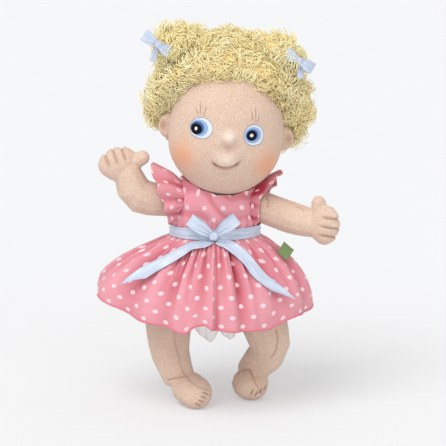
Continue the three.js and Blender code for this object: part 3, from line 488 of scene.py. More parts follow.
def pressed(spots, paths, width):
    """How much each point lies in a groove along paths, from 0 to 1. The width is in millimetres."""
    near = KDTree(sum(len(path) for path in paths))
    for i, spot in enumerate(spot for path in paths for spot in path):
        near.insert(spot, i)
    near.balance()
    away = np.array([near.find(spot)[2] for spot in spots]) / MM
    return np.exp(-(away / width) ** 2)


for side in ("right", "left"):
    arm = remade(f"{side}_arm", f"{side}_arm_skin", skin, 0.9, 10)
    pose = ARM_POSE[side]
    root = np.array(joints[f"{side}_shoulder_raise"]["pos_m"])
    forward = pose["forward"]
    elbow = root + UPPER_ARM * heading(pose["upper"], forward) * MM
    wrist = elbow + FOREARM * heading(pose["fore"], forward) * MM
    along = heading(pose["hand"], forward)
    across = heading(pose["hand"] + 90, forward if side == "right" else 0)
    across = across - along * (across @ along)
    across /= np.linalg.norm(across)
    lines = [line * HAND_WIDTH + pose["aside"] for line in FINGER_LINES]
    spots, normals = points_of(arm.data), normals_of(arm.data)
    from_wrist = (spots - wrist) / MM
    reach, beside = from_wrist @ along, from_wrist @ across
    grooves = sum(np.exp(-((beside - line) / 1.1) ** 2) for line in lines)
    grooves = grooves * smooth(0.38 * HAND_LENGTH, 0.62 * HAND_LENGTH, reach)
    tucks = [path for tuck in ARM_TUCKS[side] for path in traced(surface_of(arm.data), tuck, 12)]
    tucked = pressed(spots, tucks, 0.8) if tucks else 0 * reach
    move_points(arm.data, spots - normals * ((FINGER_GROOVE * grooves + 0.7 * tucked) * MM)[:, None])
    # Painted shade in the finger grooves and the tucks.
    paint(arm.data, "crease_shade", 0.45 * np.clip(grooves, 0, 1) + 0.5 * tucked)
    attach(arm, f"{side}_arm_group")
    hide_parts(f"{side}_arm")
    surface = surface_of(arm.data)
    paths = []
    for line in lines:
        ends = [wrist + (along * part * HAND_LENGTH + across * line) * MM + np.array([0, -0.05, 0])
                for part in (0.5, 0.92)]
        paths += stitch_line(surface, ends, (0, 1, 0), 7)
    if paths:
        sewn(f"{side}_finger_stitches", paths, 0.3, f"{side}_arm_group")

# Legs: longer jersey tubes with a seam down the front, and a foot turned up at a seamed ankle. Short
# stitches through the filling mark off the toes.

# Places of the picture, in its pixels, that the seams run through and the toe stitches lie at, and half
# a toe stitch.
LEG_LINES = {
    "right": {
        "seams": [
            [(174, 334), (176, 347), (179, 358), (182, 371), (187, 376), (190, 381), (199, 387), (208, 390)],
            [(168, 380), (175, 378.5), (182, 377), (187, 375.5)]],
        "toes": [(206, 393.5), (204, 397.5), (201.5, 401.5), (198, 405)], "slope": (2.3, 1.0)},
    "left": {
        "seams": [
            [(276, 330), (278, 340), (276, 350), (271, 358)],
            [(238, 373), (244, 369.5), (250, 370), (253, 378), (257, 386), (262, 394)]],
        "toes": [(252, 392), (256.5, 394), (261, 391), (265, 388)], "slope": (1.0, -2.3)},
}


for side in ("right", "left"):
    leg = remade(f"{side}_leg", f"{side}_leg_skin", skin, 0.8, 14)
    surface = surface_of(leg.data)
    lines = LEG_LINES[side]
    slope = np.array(lines["slope"])
    dashes = [[np.array(toe) - slope, np.array(toe) + slope] for toe in lines["toes"]]
    seams = [path for seam in lines["seams"] for path in traced(surface, seam, 40)]
    toes = [path for dash in dashes for path in traced(surface, dash, 7)]
    spots, normals = points_of(leg.data), normals_of(leg.data)
    seamed, tied = pressed(spots, seams, 0.75), pressed(spots, toes, 0.75)
    move_points(leg.data, spots - normals * ((0.6 * seamed + 1.3 * tied) * MM)[:, None])
    # Painted shade along the seams' grooves and at the toe stitches.
    paint(leg.data, "crease_shade", np.clip(0.65 * seamed + 0.7 * tied, 0, 1))
    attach(leg, f"{side}_leg_group")
    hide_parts(f"{side}_leg")
    surface = surface_of(leg.data)
    toes = [path for dash in dashes for path in traced(surface, dash, 7)]
    sewn(f"{side}_toe_stitches", toes, 0.25, f"{side}_leg_group")

# Eyes: satin stitch in rayon thread, worked straight onto the face. A white field holds a light blue
# ring, a deeper blue one and a black pupil, each laid over the one before, with a white spark on top.

# Real stitches lie 0.3 mm apart. They are drawn at twice that, so that they show. A wave texture of scale 1
# repeats over THREAD_WAVE.
STITCH_PITCH = 0.6
THREAD_WAVE = math.pi / 10


def satin_stitch(name, colour, shade):
    """Rayon embroidery thread lies side by side, so it is smooth and shiny with fine ridges. Its darker
    colour is painted shade in the grooves between the threads.
    """
    material, tree, shader = new_material(name, Roughness=0.42)
    shader.inputs["Specular IOR Level"].default_value = 0.4
    place = add(tree, "ShaderNodeTexCoord").outputs["Object"]
    ridges = add(tree, "ShaderNodeTexWave", {
        "Vector": place, "Scale": THREAD_WAVE / (STITCH_PITCH * MM), "Distortion": 1.5, "Detail": 1.0},
        bands_direction="DIAGONAL")
    tone = add(tree, "ShaderNodeMixRGB", {
        "Fac": ridges.outputs["Fac"], "Color1": linear(shade), "Color2": linear(colour)})
    tree.links.new(tone.outputs["Color"], shader.inputs["Base Color"])
    bump = add(tree, "ShaderNodeBump", {
        "Height": ridges.outputs["Fac"], "Strength": 0.3, "Distance": 0.2 * MM})
    tree.links.new(bump.outputs["Normal"], shader.inputs["Normal"])
    return material


white_stitch = satin_stitch("white_satin_stitch", "#f3f2ef", "#bcc9da")
light_blue_stitch = satin_stitch("light_blue_satin_stitch", "#a3bfe4", "#6f95cd")
deep_blue_stitch = satin_stitch("deep_blue_satin_stitch", "#4a6aa8", "#2c447e")
black_stitch = satin_stitch("black_satin_stitch", "#08080c", "#020204")
black_stitch.node_tree.nodes["Principled BSDF"].inputs["Specular IOR Level"].default_value = 0.15
outline_stitch = satin_stitch("grey_blue_outline_stitch", "#8f9bab", "#7c899b")
lash_stitch = satin_stitch("brown_lash_stitch", "#b59a8c", "#a08474")


def on_face(x, z, proud):
    """A point of the face, in the head's millimetres, a little proud of the skin."""
    spot, normal, _, _ = face_surface.ray_cast(Vector((x, -90, z)), Vector((0, 1, 0)))
    return spot + normal * proud


def stitched_field(name, outline, proud, material):
    """A field of stitches on the face, inside an outline of (x, z) points, full to its rounded rim."""
    outline = np.array(outline)
    middle = outline.mean(axis=0)
    shares = (1.0, 0.97, 0.9, 0.75, 0.5, 0.25)
    lifts = (0.0, 0.6, 0.95, 1.0, 1.0, 1.0)
    points = [on_face(*(middle + (spot - middle) * share), proud * lift)
              for share, lift in zip(shares, lifts) for spot in outline]
    points.append(on_face(*middle, proud))
    count = len(outline)
    faces = []
    for ring in range(len(shares) - 1):
        for i in range(count):
            here, there = ring * count + i, ring * count + (i + 1) % count
            faces.append((here, there, there + count, here + count))
    last = (len(shares) - 1) * count
    faces += [(last + i, last + (i + 1) % count, len(points) - 1) for i in range(count)]
    return on_head(new_piece(name, points, faces, material))


def on_head(piece):
    """Moves a piece from the head's own millimetres to its place, and lets it ride with the head."""
    piece.data.transform(head_frame)
    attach(piece, "head_group")
    return piece


def threads(name, paths, radius, material):
    """Stitches on the face: each path is a list of points, thinned at both ends."""
    paths = np.array(paths, dtype=float)
    taper = np.sin(np.linspace(0.12, math.pi - 0.12, paths.shape[1])) ** 0.4
    radii = np.broadcast_to(radius * taper, paths.shape[:2])
    axes = np.broadcast_to(np.array([0.0, 1.0, 0.0]), paths.shape)
    points, faces = tubes(paths, radii, axes, 6)
    return new_piece(name, points, faces, material)


def oval(x, z, half_width, half_height, corner=None, count=72):
    """An oval outline, drawn out to a soft corner in one direction, where that is given in degrees."""
    outline = []
    for angle in np.linspace(0, 2 * math.pi, count, endpoint=False):
        reach = 1.0
        if corner is not None:
            away = (angle - math.radians(corner) + math.pi) % (2 * math.pi) - math.pi
            reach += 0.1 * math.exp(-(away / 0.3) ** 2)
        outline.append((x + reach * half_width * math.cos(angle), z + reach * half_height * math.sin(angle)))
    return outline


# The middle and half sizes of each field, the way of the eye's corner in degrees, and the ends of the lashes.
EYES = {
    "right": {
        "eye": (-20.9, 4.2, 9.2, 8.6, 222), "light": (-22.4, 4.2, 7.1), "deep": (-24.0, 3.9, 5.8),
        "pupil": (-24.7, 3.0, 4.8), "spark": (-25.0, 3.2, 1.2, 1.7),
        "lashes": [((-27.4, 19.0), (-24.6, 14.6)), ((-24.5, 25.2), (-22.4, 14.2)),
                   ((-18.9, 22.2), (-20.3, 14.0))]},
    "left": {
        "eye": (22.1, 3.1, 8.1, 8.7, 318), "light": (21.2, 3.2, 6.9), "deep": (20.5, 3.1, 5.2),
        "pupil": (20.1, 2.9, 4.4), "spark": (20.0, 2.9, 1.6, 1.6),
        "lashes": [((17.6, 22.3), (20.0, 15.2)), ((21.0, 25.9), (22.6, 13.6)), ((25.0, 19.4), (24.0, 14.2))]},
}
for side, eye in EYES.items():
    light, deep, pupil = eye["light"], eye["deep"], eye["pupil"]
    fields = [
        ("eye_white", oval(*eye["eye"]), 0.4, white_stitch, "white_embroidery"),
        ("iris", oval(*light, light[2]), 0.6, light_blue_stitch, "blue_embroidery"),
        ("inner_iris", oval(*deep, deep[2]), 0.75, deep_blue_stitch, "blue_embroidery"),
        ("pupil", oval(*pupil, pupil[2]), 0.9, black_stitch, "black_embroidery"),
        ("catchlight", oval(*eye["spark"]), 1.1, white_stitch, "white_embroidery"),
    ]
    for part, outline, proud, material, slot in fields:
        field = stitched_field(f"{side}_{part}_stitches", outline, proud, material)
        if part != "inner_iris":
            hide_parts(f"{side}_{part}")
    rim = [on_face(x, z, 0.15) for x, z in oval(*eye["eye"]) + oval(*eye["eye"])[:1]]
    outline = on_head(threads(f"{side}_eye_outline", [rim], 0.28, outline_stitch))
    lashes = []
    for tip, foot in eye["lashes"]:
        lashes.append([on_face(*(np.array(tip) + (np.array(foot) - tip) * share), 0.1)
                       for share in np.linspace(0, 1, 9)])
    lashes = on_head(threads(f"{side}_lashes", lashes, 0.3, lash_stitch))

# Hair: a wig of fluffy looped yarn, sewn to the head in close rows and cut, so that its fine ends curl
# every way over a dense golden pile. Two bunches of it are tied up over the temples.
rng = np.random.default_rng(7)
# Acrylic yarn, spun loose: dull, pale and a little fuzzy, with a tone of its own in each lock.
yarn, tree, shader = new_material("curly_acrylic_yarn", Roughness=0.6, Sheen_Weight=0.25, Sheen_Roughness=0.4)
shader.inputs["Specular IOR Level"].default_value = 0.3
tone = add(tree, "ShaderNodeAttribute", attribute_name="tone")
body_tone = add(tree, "ShaderNodeMixRGB", {
    "Fac": tone.outputs["Fac"], "Color1": linear("#ffe497"), "Color2": linear("#fffce4")})
fuzz = add(tree, "ShaderNodeTexNoise", {
    "Vector": add(tree, "ShaderNodeTexCoord").outputs["Object"], "Scale": 1 / (2.5 * MM), "Detail": 2.0})
strand_tone = add(tree, "ShaderNodeMixRGB", {
    "Fac": fuzz.outputs["Fac"], "Color1": body_tone.outputs["Color"], "Color2": linear("#fff3bc")})
tree.links.new(strand_tone.outputs["Color"], shader.inputs["Base Color"])

# The roots of the yarn lie close together, so the pile is clumped, and its deeper gold is painted shade among
# the roots.
pile, tree, shader = new_material("golden_yarn_pile", Roughness=0.9)
clumps = add(tree, "ShaderNodeTexNoise", {
    "Vector": add(tree, "ShaderNodeTexCoord").outputs["Object"], "Scale": 1 / (2.5 * MM), "Detail": 4.0})
depth = add(tree, "ShaderNodeMixRGB", {
    "Fac": clumps.outputs["Fac"], "Color1": linear("#fcd384"), "Color2": linear("#ffeab4")})
tree.links.new(depth.outputs["Color"], shader.inputs["Base Color"])
rough = add(tree, "ShaderNodeBump", {"Height": clumps.outputs["Fac"], "Strength": 0.8, "Distance": 1.5 * MM})
tree.links.new(rough.outputs["Normal"], shader.inputs["Normal"])

# The pile lies this deep under the solid's surface, and the curls rise through it.
HAIR_DEPTH = {"hair": 4.0, "bunch": 5.5}
HAIR_SPACING = 1.55
LOCK_SPACING = 6.0
STRANDS_IN_A_PIECE = 3200
STRAND_TAPER = np.array([1.0, 1.05, 1.0, 1.0, 1.0, 0.95, 0.8, 0.5])
# The least and the most of each cut end's length, of the radius that it curls to and of its own radius.
STRAND_LENGTH = (10.0, 19.0)
CURL_RADIUS = (2.6, 5.6)
STRAND_RADIUS = (0.24, 0.42)
STRAY_SHARE = 0.15
# Places in the head's own millimetres, and how far round them the hair is closer and longer.
HAIR_BOW = (58.0, -18.5, 66.0)
HAIR_BOW_ASIDE = 6.0
EAR_TOP = (49.0, -2.0, 9.0)
BOW_COVER = 17.0
EAR_COVER = 13.0
FOOT_COVER = 27.0
CLOSE_SPACING = 1.6
BOW_SPACING = 1.25


def scattered(mesh, keep, spacing):
    """Random places over a mesh, as far apart on average as spacing, and the directions out of it."""
    mesh.calc_loop_triangles()
    corners = np.array([t.vertices for t in mesh.loop_triangles])
    corners = corners[keep[corners].any(axis=1)]
    spots, normals = points_of(mesh), normals_of(mesh)
    a, b, c = (spots[corners[:, i]] for i in range(3))
    areas = np.linalg.norm(np.cross(b - a, c - a), axis=1) / 2
    count = int(areas.sum() / spacing ** 2)
    chosen = rng.choice(len(corners), size=count, p=areas / areas.sum())
    u, v = rng.random(count), rng.random(count)
    flip = u + v > 1
    u[flip], v[flip] = 1 - u[flip], 1 - v[flip]
    weights = np.stack([1 - u - v, u, v], axis=1)[:, :, None]
    return (spots[corners[chosen]] * weights).sum(axis=1), (normals[corners[chosen]] * weights).sum(axis=1)


def unit_rows(rows):
    """Each row at length 1."""
    return rows / np.linalg.norm(rows, axis=-1, keepdims=True)


def curly_strands(roots, normals, longer=1.0):
    """The paths, radii, curl axes and tones of short cut strands, each an open curl that leaves its root.
    Neighbours in a lock lean and curl alike, and some stray."""
    count = len(roots)
    locks = rng.choice(count, size=max(1, int(count * (HAIR_SPACING / LOCK_SPACING) ** 2)), replace=False)
    nearest = KDTree(len(locks))
    for i, lock in enumerate(locks):
        nearest.insert(roots[lock], i)
    nearest.balance()
    lock = np.array([nearest.find(root)[1] for root in roots])
    stray = rng.random(count) < STRAY_SHARE
    own = np.where(stray, 0.9, 0.22)[:, None]
    lean = 0.75 * rng.normal(size=(len(locks), 3))[lock] + own * rng.normal(size=(count, 3))
    hanging = 0.12 + 0.6 * smooth(0.3, 0.9, -normals[:, 1])
    out = unit_rows(normals + 0.55 * lean - hanging[:, None] * np.array([0, 0, 1]))
    turned = rng.normal(size=(len(locks), 3))[lock] + 0.3 * rng.normal(size=(count, 3))
    axis = unit_rows(np.cross(out, turned))
    side = np.cross(axis, out)
    length = rng.uniform(*STRAND_LENGTH, count) * longer * np.where(stray, 1.15, 1.0) * MM
    curl = (rng.uniform(*CURL_RADIUS, len(locks))[lock] + rng.uniform(-0.4, 0.8, count)) * MM
    steps = len(STRAND_TAPER)
    along = np.linspace(0, 1, steps)[None, :] * (length / curl)[:, None]
    paths = roots[:, None, :] + curl[:, None, None] * (
        np.sin(along)[:, :, None] * out[:, None, :] + (1 - np.cos(along))[:, :, None] * side[:, None, :])
    drift = (rng.uniform(-0.35, 0.35, count) * length)[:, None] * along / along[:, -1:]
    paths += axis[:, None, :] * drift[:, :, None]
    thick = rng.uniform(*STRAND_RADIUS, count) * np.where(stray, 0.7, 1.0) * MM
    tones = np.clip(0.75 * rng.random(len(locks))[lock] + 0.25 * rng.random(count), 0, 1)
    return paths, thick[:, None] * STRAND_TAPER, np.repeat(axis[:, None, :], steps, axis=1), tones


WIG = (
    ("hair", "hair", "hair"), ("right_hair_bunch", "right_bunch", "bunch"),
    ("left_hair_bunch", "left_bunch", "bunch"))
for node, name, kind in WIG:
    base = remade(node, f"{name}_pile", pile, 1.8, 12)
    spots, normals = points_of(base.data), normals_of(base.data)
    in_head = (np.c_[spots, np.ones(len(spots))] @ np.array(head_frame.inverted()).T)[:, :3] / HEAD_HALF
    outer = np.linalg.norm(in_head, axis=1) > 1.02
    move_points(base.data, spots - normals * (outer * HAIR_DEPTH[kind] * MM)[:, None])
    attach(base, "head_group")
    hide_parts(node)
    strands = [curly_strands(*scattered(base.data, outer, HAIR_SPACING * MM))]
    if kind == "hair":
        for side, way in SIDES:
            ear_top = np.array(head_frame @ Vector((way * EAR_TOP[0], *EAR_TOP[1:])))
            bunch_middle = np.array(sum(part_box(f"{side}_hair_bunch"), Vector())) / 2
            for place, cover in ((ear_top, EAR_COVER), (bunch_middle, FOOT_COVER)):
                beside = np.linalg.norm(spots - place, axis=1) < cover * MM
                places = scattered(base.data, beside & outer, CLOSE_SPACING * MM)
                strands.append(curly_strands(*places, longer=1.25))
    if kind == "bunch":
        way = -1 if name.startswith("right") else 1
        bow_place = np.array(head_frame @ Vector((way * HAIR_BOW[0] - HAIR_BOW_ASIDE, *HAIR_BOW[1:])))
        beside_bow = np.linalg.norm(spots - bow_place, axis=1) < BOW_COVER * MM
        strands.append(curly_strands(*scattered(base.data, beside_bow, BOW_SPACING * MM), longer=1.35))
    paths, radii, axes, tones = (np.concatenate(rows) for rows in zip(*strands))
    for batch, first in enumerate(range(0, len(paths), STRANDS_IN_A_PIECE)):
        part = slice(first, first + STRANDS_IN_A_PIECE)
        points, faces = tubes(paths[part], radii[part], axes[part], 4)
        curls = new_piece(f"{name}_curls_{batch + 1}", points, faces, yarn)
        paint(curls.data, "tone", np.repeat(tones[part], len(points) // len(paths[part])))
        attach(curls, "head_group")

# Dress cotton: a light plain weave, dyed rose pink and printed with white dots in staggered rows. It
# is matt, with a faint grid of threads, and painted shade darkens it in its folds.
COTTON_THICKNESS = 0.5
DOT_SPACING = 16.5
DOT_ROW = 9.4
DOT_RADIUS = 2.0
# Real threads lie 0.3 mm apart. They are drawn coarser, so that the weave shows.
WEAVE_PITCH = 0.7
cotton, tree, shader = new_material("dotted_rose_cotton", Roughness=0.8, Sheen_Weight=0.15)
shader.inputs["Specular IOR Level"].default_value = 0.2
cloth_place = add(tree, "ShaderNodeTexCoord").outputs["UV"]
cells = add(tree, "ShaderNodeVectorMath", {0: cloth_place, 1: (DOT_SPACING, DOT_ROW, 1)}, operation="DIVIDE")
split = add(tree, "ShaderNodeSeparateXYZ", {0: cells.outputs[0]})
row = add(tree, "ShaderNodeMath", {0: split.outputs["Y"]}, operation="FLOOR")
stagger = add(tree, "ShaderNodeMath", {
    0: row.outputs[0], 1: 0.5, 2: split.outputs["X"]}, operation="MULTIPLY_ADD")
cell = add(tree, "ShaderNodeCombineXYZ", {"X": stagger.outputs[0], "Y": split.outputs["Y"]})
within = add(tree, "ShaderNodeVectorMath", {0: cell.outputs[0]}, operation="FRACTION")
centred = add(tree, "ShaderNodeVectorMath", {0: within.outputs[0], 1: (0.5, 0.5, 0)}, operation="SUBTRACT")
sized = add(tree, "ShaderNodeVectorMath", {
    0: centred.outputs[0], 1: (DOT_SPACING, DOT_ROW, 0)}, operation="MULTIPLY")
reach = add(tree, "ShaderNodeVectorMath", {0: sized.outputs[0]}, operation="LENGTH")
dot = add(tree, "ShaderNodeMapRange", {
    "Value": reach.outputs["Value"], "From Min": DOT_RADIUS - 0.25, "From Max": DOT_RADIUS + 0.25,
    "To Min": 1.0, "To Max": 0.0})
dye = add(tree, "ShaderNodeTexNoise", {"Vector": cloth_place, "Scale": 0.08, "Detail": 3.0})
rose = add(tree, "ShaderNodeMixRGB", {
    "Fac": dye.outputs["Fac"], "Color1": linear("#da8c98"), "Color2": linear("#e6a4ad")})
# This attribute holds painted shade, which darkens the cloth in its folds and hollows.
folded = add(tree, "ShaderNodeAttribute", attribute_name="fold_shade")
shaded = add(tree, "ShaderNodeMixRGB", {
    "Fac": folded.outputs["Fac"], "Color1": rose.outputs["Color"], "Color2": linear("#b5354a")})
printed = add(tree, "ShaderNodeMixRGB", {
    "Fac": dot.outputs["Result"], "Color1": shaded.outputs["Color"], "Color2": linear("#f1d0d6")})
tree.links.new(printed.outputs["Color"], shader.inputs["Base Color"])
warp, weft = (
    add(tree, "ShaderNodeTexWave", {
        "Vector": cloth_place, "Scale": THREAD_WAVE / WEAVE_PITCH}, bands_direction=direction)
    for direction in "XY")
weave = add(tree, "ShaderNodeMath", {0: warp.outputs["Fac"], 1: weft.outputs["Fac"]}, operation="ADD")
threads_bump = add(tree, "ShaderNodeBump", {
    "Height": weave.outputs[0], "Strength": 0.25, "Distance": 0.12 * MM})
tree.links.new(threads_bump.outputs["Normal"], shader.inputs["Normal"])


def lay_out(mesh, u, v):
    """Gives each point of a mesh its place on the flat cloth, in millimetres."""
    layer = mesh.uv_layers.new(name="cloth")
    corners = np.empty(len(mesh.loops), dtype=np.int32)
    mesh.loops.foreach_get("vertex_index", corners)
    layer.data.foreach_set("uv", np.stack([u[corners], v[corners]], axis=1).astype(np.float32).ravel())


def cloth_grid(columns, rows):
    """The places of a sheet's points, v from its upper edge down and u along it, each from 0 to 1."""
    v, u = np.meshgrid(np.linspace(0, 1, rows + 1), np.linspace(0, 1, columns + 1), indexing="ij")
    return u, v


def cloth_sheet(name, surface, columns, rows, material, thickness, print_scale=1.0):
    """A sheet of cloth from its middle surface over u and v in 0 to 1, in metres, with real thickness.
    It is laid out flat by the lengths along its widest row and down its middling column. A print scale
    under 1 draws the print out along the row."""
    u, v = cloth_grid(columns, rows)
    points = surface(u, v)
    steps = np.linalg.norm(np.diff(points, axis=1), axis=2)
    along_edge = np.concatenate([[0], np.cumsum(steps[steps.sum(axis=1).argmax()])]) * print_scale / MM
    heights = np.linalg.norm(np.diff(points, axis=0), axis=2).sum(axis=0)
    at = np.arange((rows + 1) * (columns + 1)).reshape(rows + 1, columns + 1)
    faces = np.stack([at[:-1, :-1], at[:-1, 1:], at[1:, 1:], at[1:, :-1]], axis=-1).reshape(-1, 4)
    piece = new_piece(name, points.reshape(-1, 3), faces, material)
    lay_out(piece.data, np.tile(along_edge, rows + 1), (-v * np.median(heights) / MM).ravel())
    body = piece.modifiers.new("thickness", "SOLIDIFY")
    body.thickness = thickness * MM
    body.offset = 0
    return piece


# Skirt: one wide strip of the cotton, gathered into the waist seam, so that it stands out in folds that
# grow fewer and broader down to the hem. One fold laps over the next at the middle of the front.

# The waist lies above the hips, and the seam a little below the waist.
WAIST_RISE = 73.0
WAIST_HALF = np.array([35.9, 25.3])
SKIRT_TUCK = 4.0
SKIRT_FALL = 0.3
SKIRT_EASE = 1.0
# The hem's height at the front, how much higher it is elsewhere, and how far it reaches from the middle.
SKIRT_HEM = 78.0
SKIRT_LIFT = {"right": 22.0, "left": 8.0, "back": 4.0}
SKIRT_REACH = {"right": 104.0, "left": 84.0, "front": 66.0, "back": 66.0}
# The folds round the skirt, from the widest to the finest, and their depths.
SWAYS, SWAY_DEPTH = 9, 3.6
LONG_FOLDS, LONG_FOLD_DEPTH = 13, 11.0
SHORT_FOLDS, SHORT_FOLD_DEPTH = 29, 4.0
GATHERS, GATHER_DEPTH = 64, 2.2
FRONT_LAP = 7.0
LAP_ARCH = 6.5
SKIRT_GRID = (720, 62)
TUCK_SHARE = 0.04
right_hip, left_hip = (Vector(joints[f"{side}_hip"]["pos_m"]) for side in ("right", "left"))
seat = np.array((right_hip + left_hip) / 2)
skirt_middle = np.array([seat[0], seat[1], 0.0])
seam_height = seat[2] / MM + WAIST_RISE - SKIRT_FALL - SKIRT_TUCK


def skirt_place(turn, drop, lift=0.0, folds=None):
    """A place on the skirt, in metres. Turn is the share of a full turn from the front, drop the share
    of the fall below the waist, and folds a function that draws the cloth in, in millimetres."""
    angle = 2 * math.pi * turn - math.pi / 2
    c, s = np.cos(angle), np.sin(angle)
    side_lift = np.where(c < 0, SKIRT_LIFT["right"], SKIRT_LIFT["left"])
    hem = SKIRT_HEM + side_lift * np.abs(c) ** 5 + SKIRT_LIFT["back"] * np.maximum(0, s)
    below = np.maximum(0, drop)
    height = seam_height - (seam_height - hem) * below - SKIRT_TUCK * np.minimum(0, drop)
    reach_x = np.where(c < 0, SKIRT_REACH["right"], SKIRT_REACH["left"])
    reach_y = np.where(s < 0, SKIRT_REACH["front"], SKIRT_REACH["back"])
    power = np.where(c < 0, 0.75 + 0.15 * np.abs(c) ** 1.6, 0.75)
    flare = np.sin(math.pi / 2 * below ** power)
    waist = WAIST_HALF + SKIRT_EASE
    half_x = waist[0] + (reach_x - waist[0]) * flare
    half_y = waist[1] + (reach_y - waist[1]) * flare
    depth = 0.0 if folds is None else folds(angle, turn, below)
    radius = 1 / np.hypot(c / half_x, s / half_y) + depth + lift
    return np.stack([radius * c, radius * s, height], axis=-1) * MM + skirt_middle


def skirt_hollows(angle, below):
    """How deep the skirt is in its folds, from 0 to 1: those that run down from the waist, finer ones
    between them, and the gathers at the waist. Each is a broad crest beside a narrow hollow."""
    wander = 0.9 * np.sin(3 * angle + 0.6) + 0.5 * np.sin(7 * angle + 2.0)
    strength = 0.72 + 0.28 * np.sin(5 * angle + 1.0)
    long = strength * ((1 - np.cos(LONG_FOLDS * angle + wander)) / 2) ** 2.6 * below ** 0.5 * (
        1 - 0.7 * smooth(0.35, 0.95, below))
    between = ((1 - np.cos(SHORT_FOLDS * angle + 2 * wander + 1.0)) / 2) ** 1.8 * smooth(0.02, 0.2, below) * (
        1 - 0.85 * smooth(0.25, 0.85, below))
    gathers = ((1 - np.cos(GATHERS * angle + 3 * wander)) / 2) ** 1.2 * smooth(0.0, 0.05, below) * (
        1 - smooth(0.12, 0.45, below))
    return long, between, gathers


def skirt_folds(angle, turn, below):
    """How far the folds draw the cloth in, or the lap at the front pushes it out, in millimetres."""
    long, between, gathers = skirt_hollows(angle, below)
    sway = SWAY_DEPTH * ((1 - np.cos(SWAYS * angle + 2 * np.sin(2 * angle))) / 2) * below ** 1.2
    overlap = smooth(-0.08, -0.012, turn) * (1 - smooth(-0.005, 0.001, turn))
    hollows = LONG_FOLD_DEPTH * long + SHORT_FOLD_DEPTH * between + GATHER_DEPTH * gathers
    return FRONT_LAP * overlap * below ** 0.6 - hollows - sway


def skirt_surface(u, v):
    """The skirt's cloth. Its upper strip is tucked behind the waist ribbon, and its hem waves a little and
    arches up at the lap."""
    drop = v * (1 + TUCK_SHARE) - TUCK_SHARE
    turn = u - 0.5
    place = skirt_place(turn, np.where(drop < 0, drop / TUCK_SHARE, drop), folds=skirt_folds)
    angle = 2 * math.pi * turn
    hem_wave = 1.6 * np.sin(7 * angle + 0.8) + 1.1 * np.sin(11 * angle + 2.4)
    arch = LAP_ARCH * np.exp(-((turn + 0.03) / 0.023) ** 4)
    place[..., 2] += (hem_wave * smooth(0.5, 1.0, drop) + arch * smooth(0.65, 1.0, drop)) * MM
    return place


skirt = cloth_sheet("dotted_skirt", skirt_surface, *SKIRT_GRID, cotton, COTTON_THICKNESS, print_scale=0.85)
u, v = cloth_grid(*SKIRT_GRID)
turn, below = u - 0.5, np.maximum(0, v * (1 + TUCK_SHARE) - TUCK_SHARE)
long, between, gathers = skirt_hollows(2 * math.pi * turn - math.pi / 2, below)
# Painted shade in the folds, and a painted shadow just behind the lap's edge.
lap_shadow = np.exp(-((turn - 0.005) / 0.005) ** 2) * smooth(0.0, 0.1, below)
hollow = 0.95 * long + 0.35 * between + 0.25 * gathers + 0.5 * lap_shadow
paint(skirt.data, "fold_shade", np.clip(hollow, 0, 0.9).ravel())
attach(skirt, "trunk")
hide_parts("skirt")

# Hem: the skirt's lower edge is rolled twice to the inside and stitched, so it is a firm narrow cord,
# darker where three layers lie together, with a run of small stitches.
HEM_ROLL = 0.9
# The stitches are laid out on more than the hem's own 527 mm, so each comes out about 2 mm long.
HEM_STITCH = 2.6
HEM_LAID_OUT = 700.0
HEM_STEPS = 901
HEM_SIDES = 8
hem_cotton, tree, shader = new_material("rolled_hem_cotton", Roughness=0.85)
shader.inputs["Specular IOR Level"].default_value = 0.15
hem_place = add(tree, "ShaderNodeTexCoord").outputs["UV"]
hem_stitches = add(tree, "ShaderNodeTexWave", {
    "Vector": hem_place, "Scale": THREAD_WAVE / HEM_STITCH, "Distortion": 0.4}, bands_direction="X")
hem_tone = add(tree, "ShaderNodeMixRGB", {
    "Fac": hem_stitches.outputs["Fac"], "Color1": linear("#d27584"), "Color2": linear("#de8a97")})
tree.links.new(hem_tone.outputs["Color"], shader.inputs["Base Color"])
pulled = add(tree, "ShaderNodeBump", {
    "Height": hem_stitches.outputs["Fac"], "Strength": 0.5, "Distance": 0.3 * MM})
tree.links.new(pulled.outputs["Normal"], shader.inputs["Normal"])
shares = np.linspace(0, 1, HEM_STEPS)
hem_path = skirt_surface(shares, np.ones(HEM_STEPS))[None]
hem_radii = np.full((1, HEM_STEPS), HEM_ROLL * MM)
upright = np.broadcast_to(np.array([0, 0, 1.0]), hem_path.shape)
hem_points, hem_faces = tubes(hem_path, hem_radii, upright, HEM_SIDES)
hem = new_piece("skirt_hem", hem_points, hem_faces, hem_cotton)
hem_along = np.repeat(shares * HEM_LAID_OUT, HEM_SIDES)
lay_out(hem.data, hem_along, np.tile(np.linspace(0, 5, HEM_SIDES), HEM_STEPS))
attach(hem, "trunk")

# Bodice: the same cotton, cut to fit the chest and sewn into the waist seam, open down the back. It
# creases a little where the gathers of the skirt pull on it.
NECKLINE_RISE = 5.4
# The heights between which the neckline is raised more and more, the gathers of the waist run out, the
# pulls above them begin, and both leave the waist seam.
NECKLINE_FROM = (176, 190)
GATHERED_TO = (156, 168)
PULLED_FROM = (158, 168)
SEAMED_TO = (152, 158)


def round_the_body(points):
    """The turn from the front, in radians, and the height in millimetres, of points in metres."""
    from_middle = points - skirt_middle
    return np.arctan2(from_middle[:, 0], -from_middle[:, 1]), points[:, 2] / MM


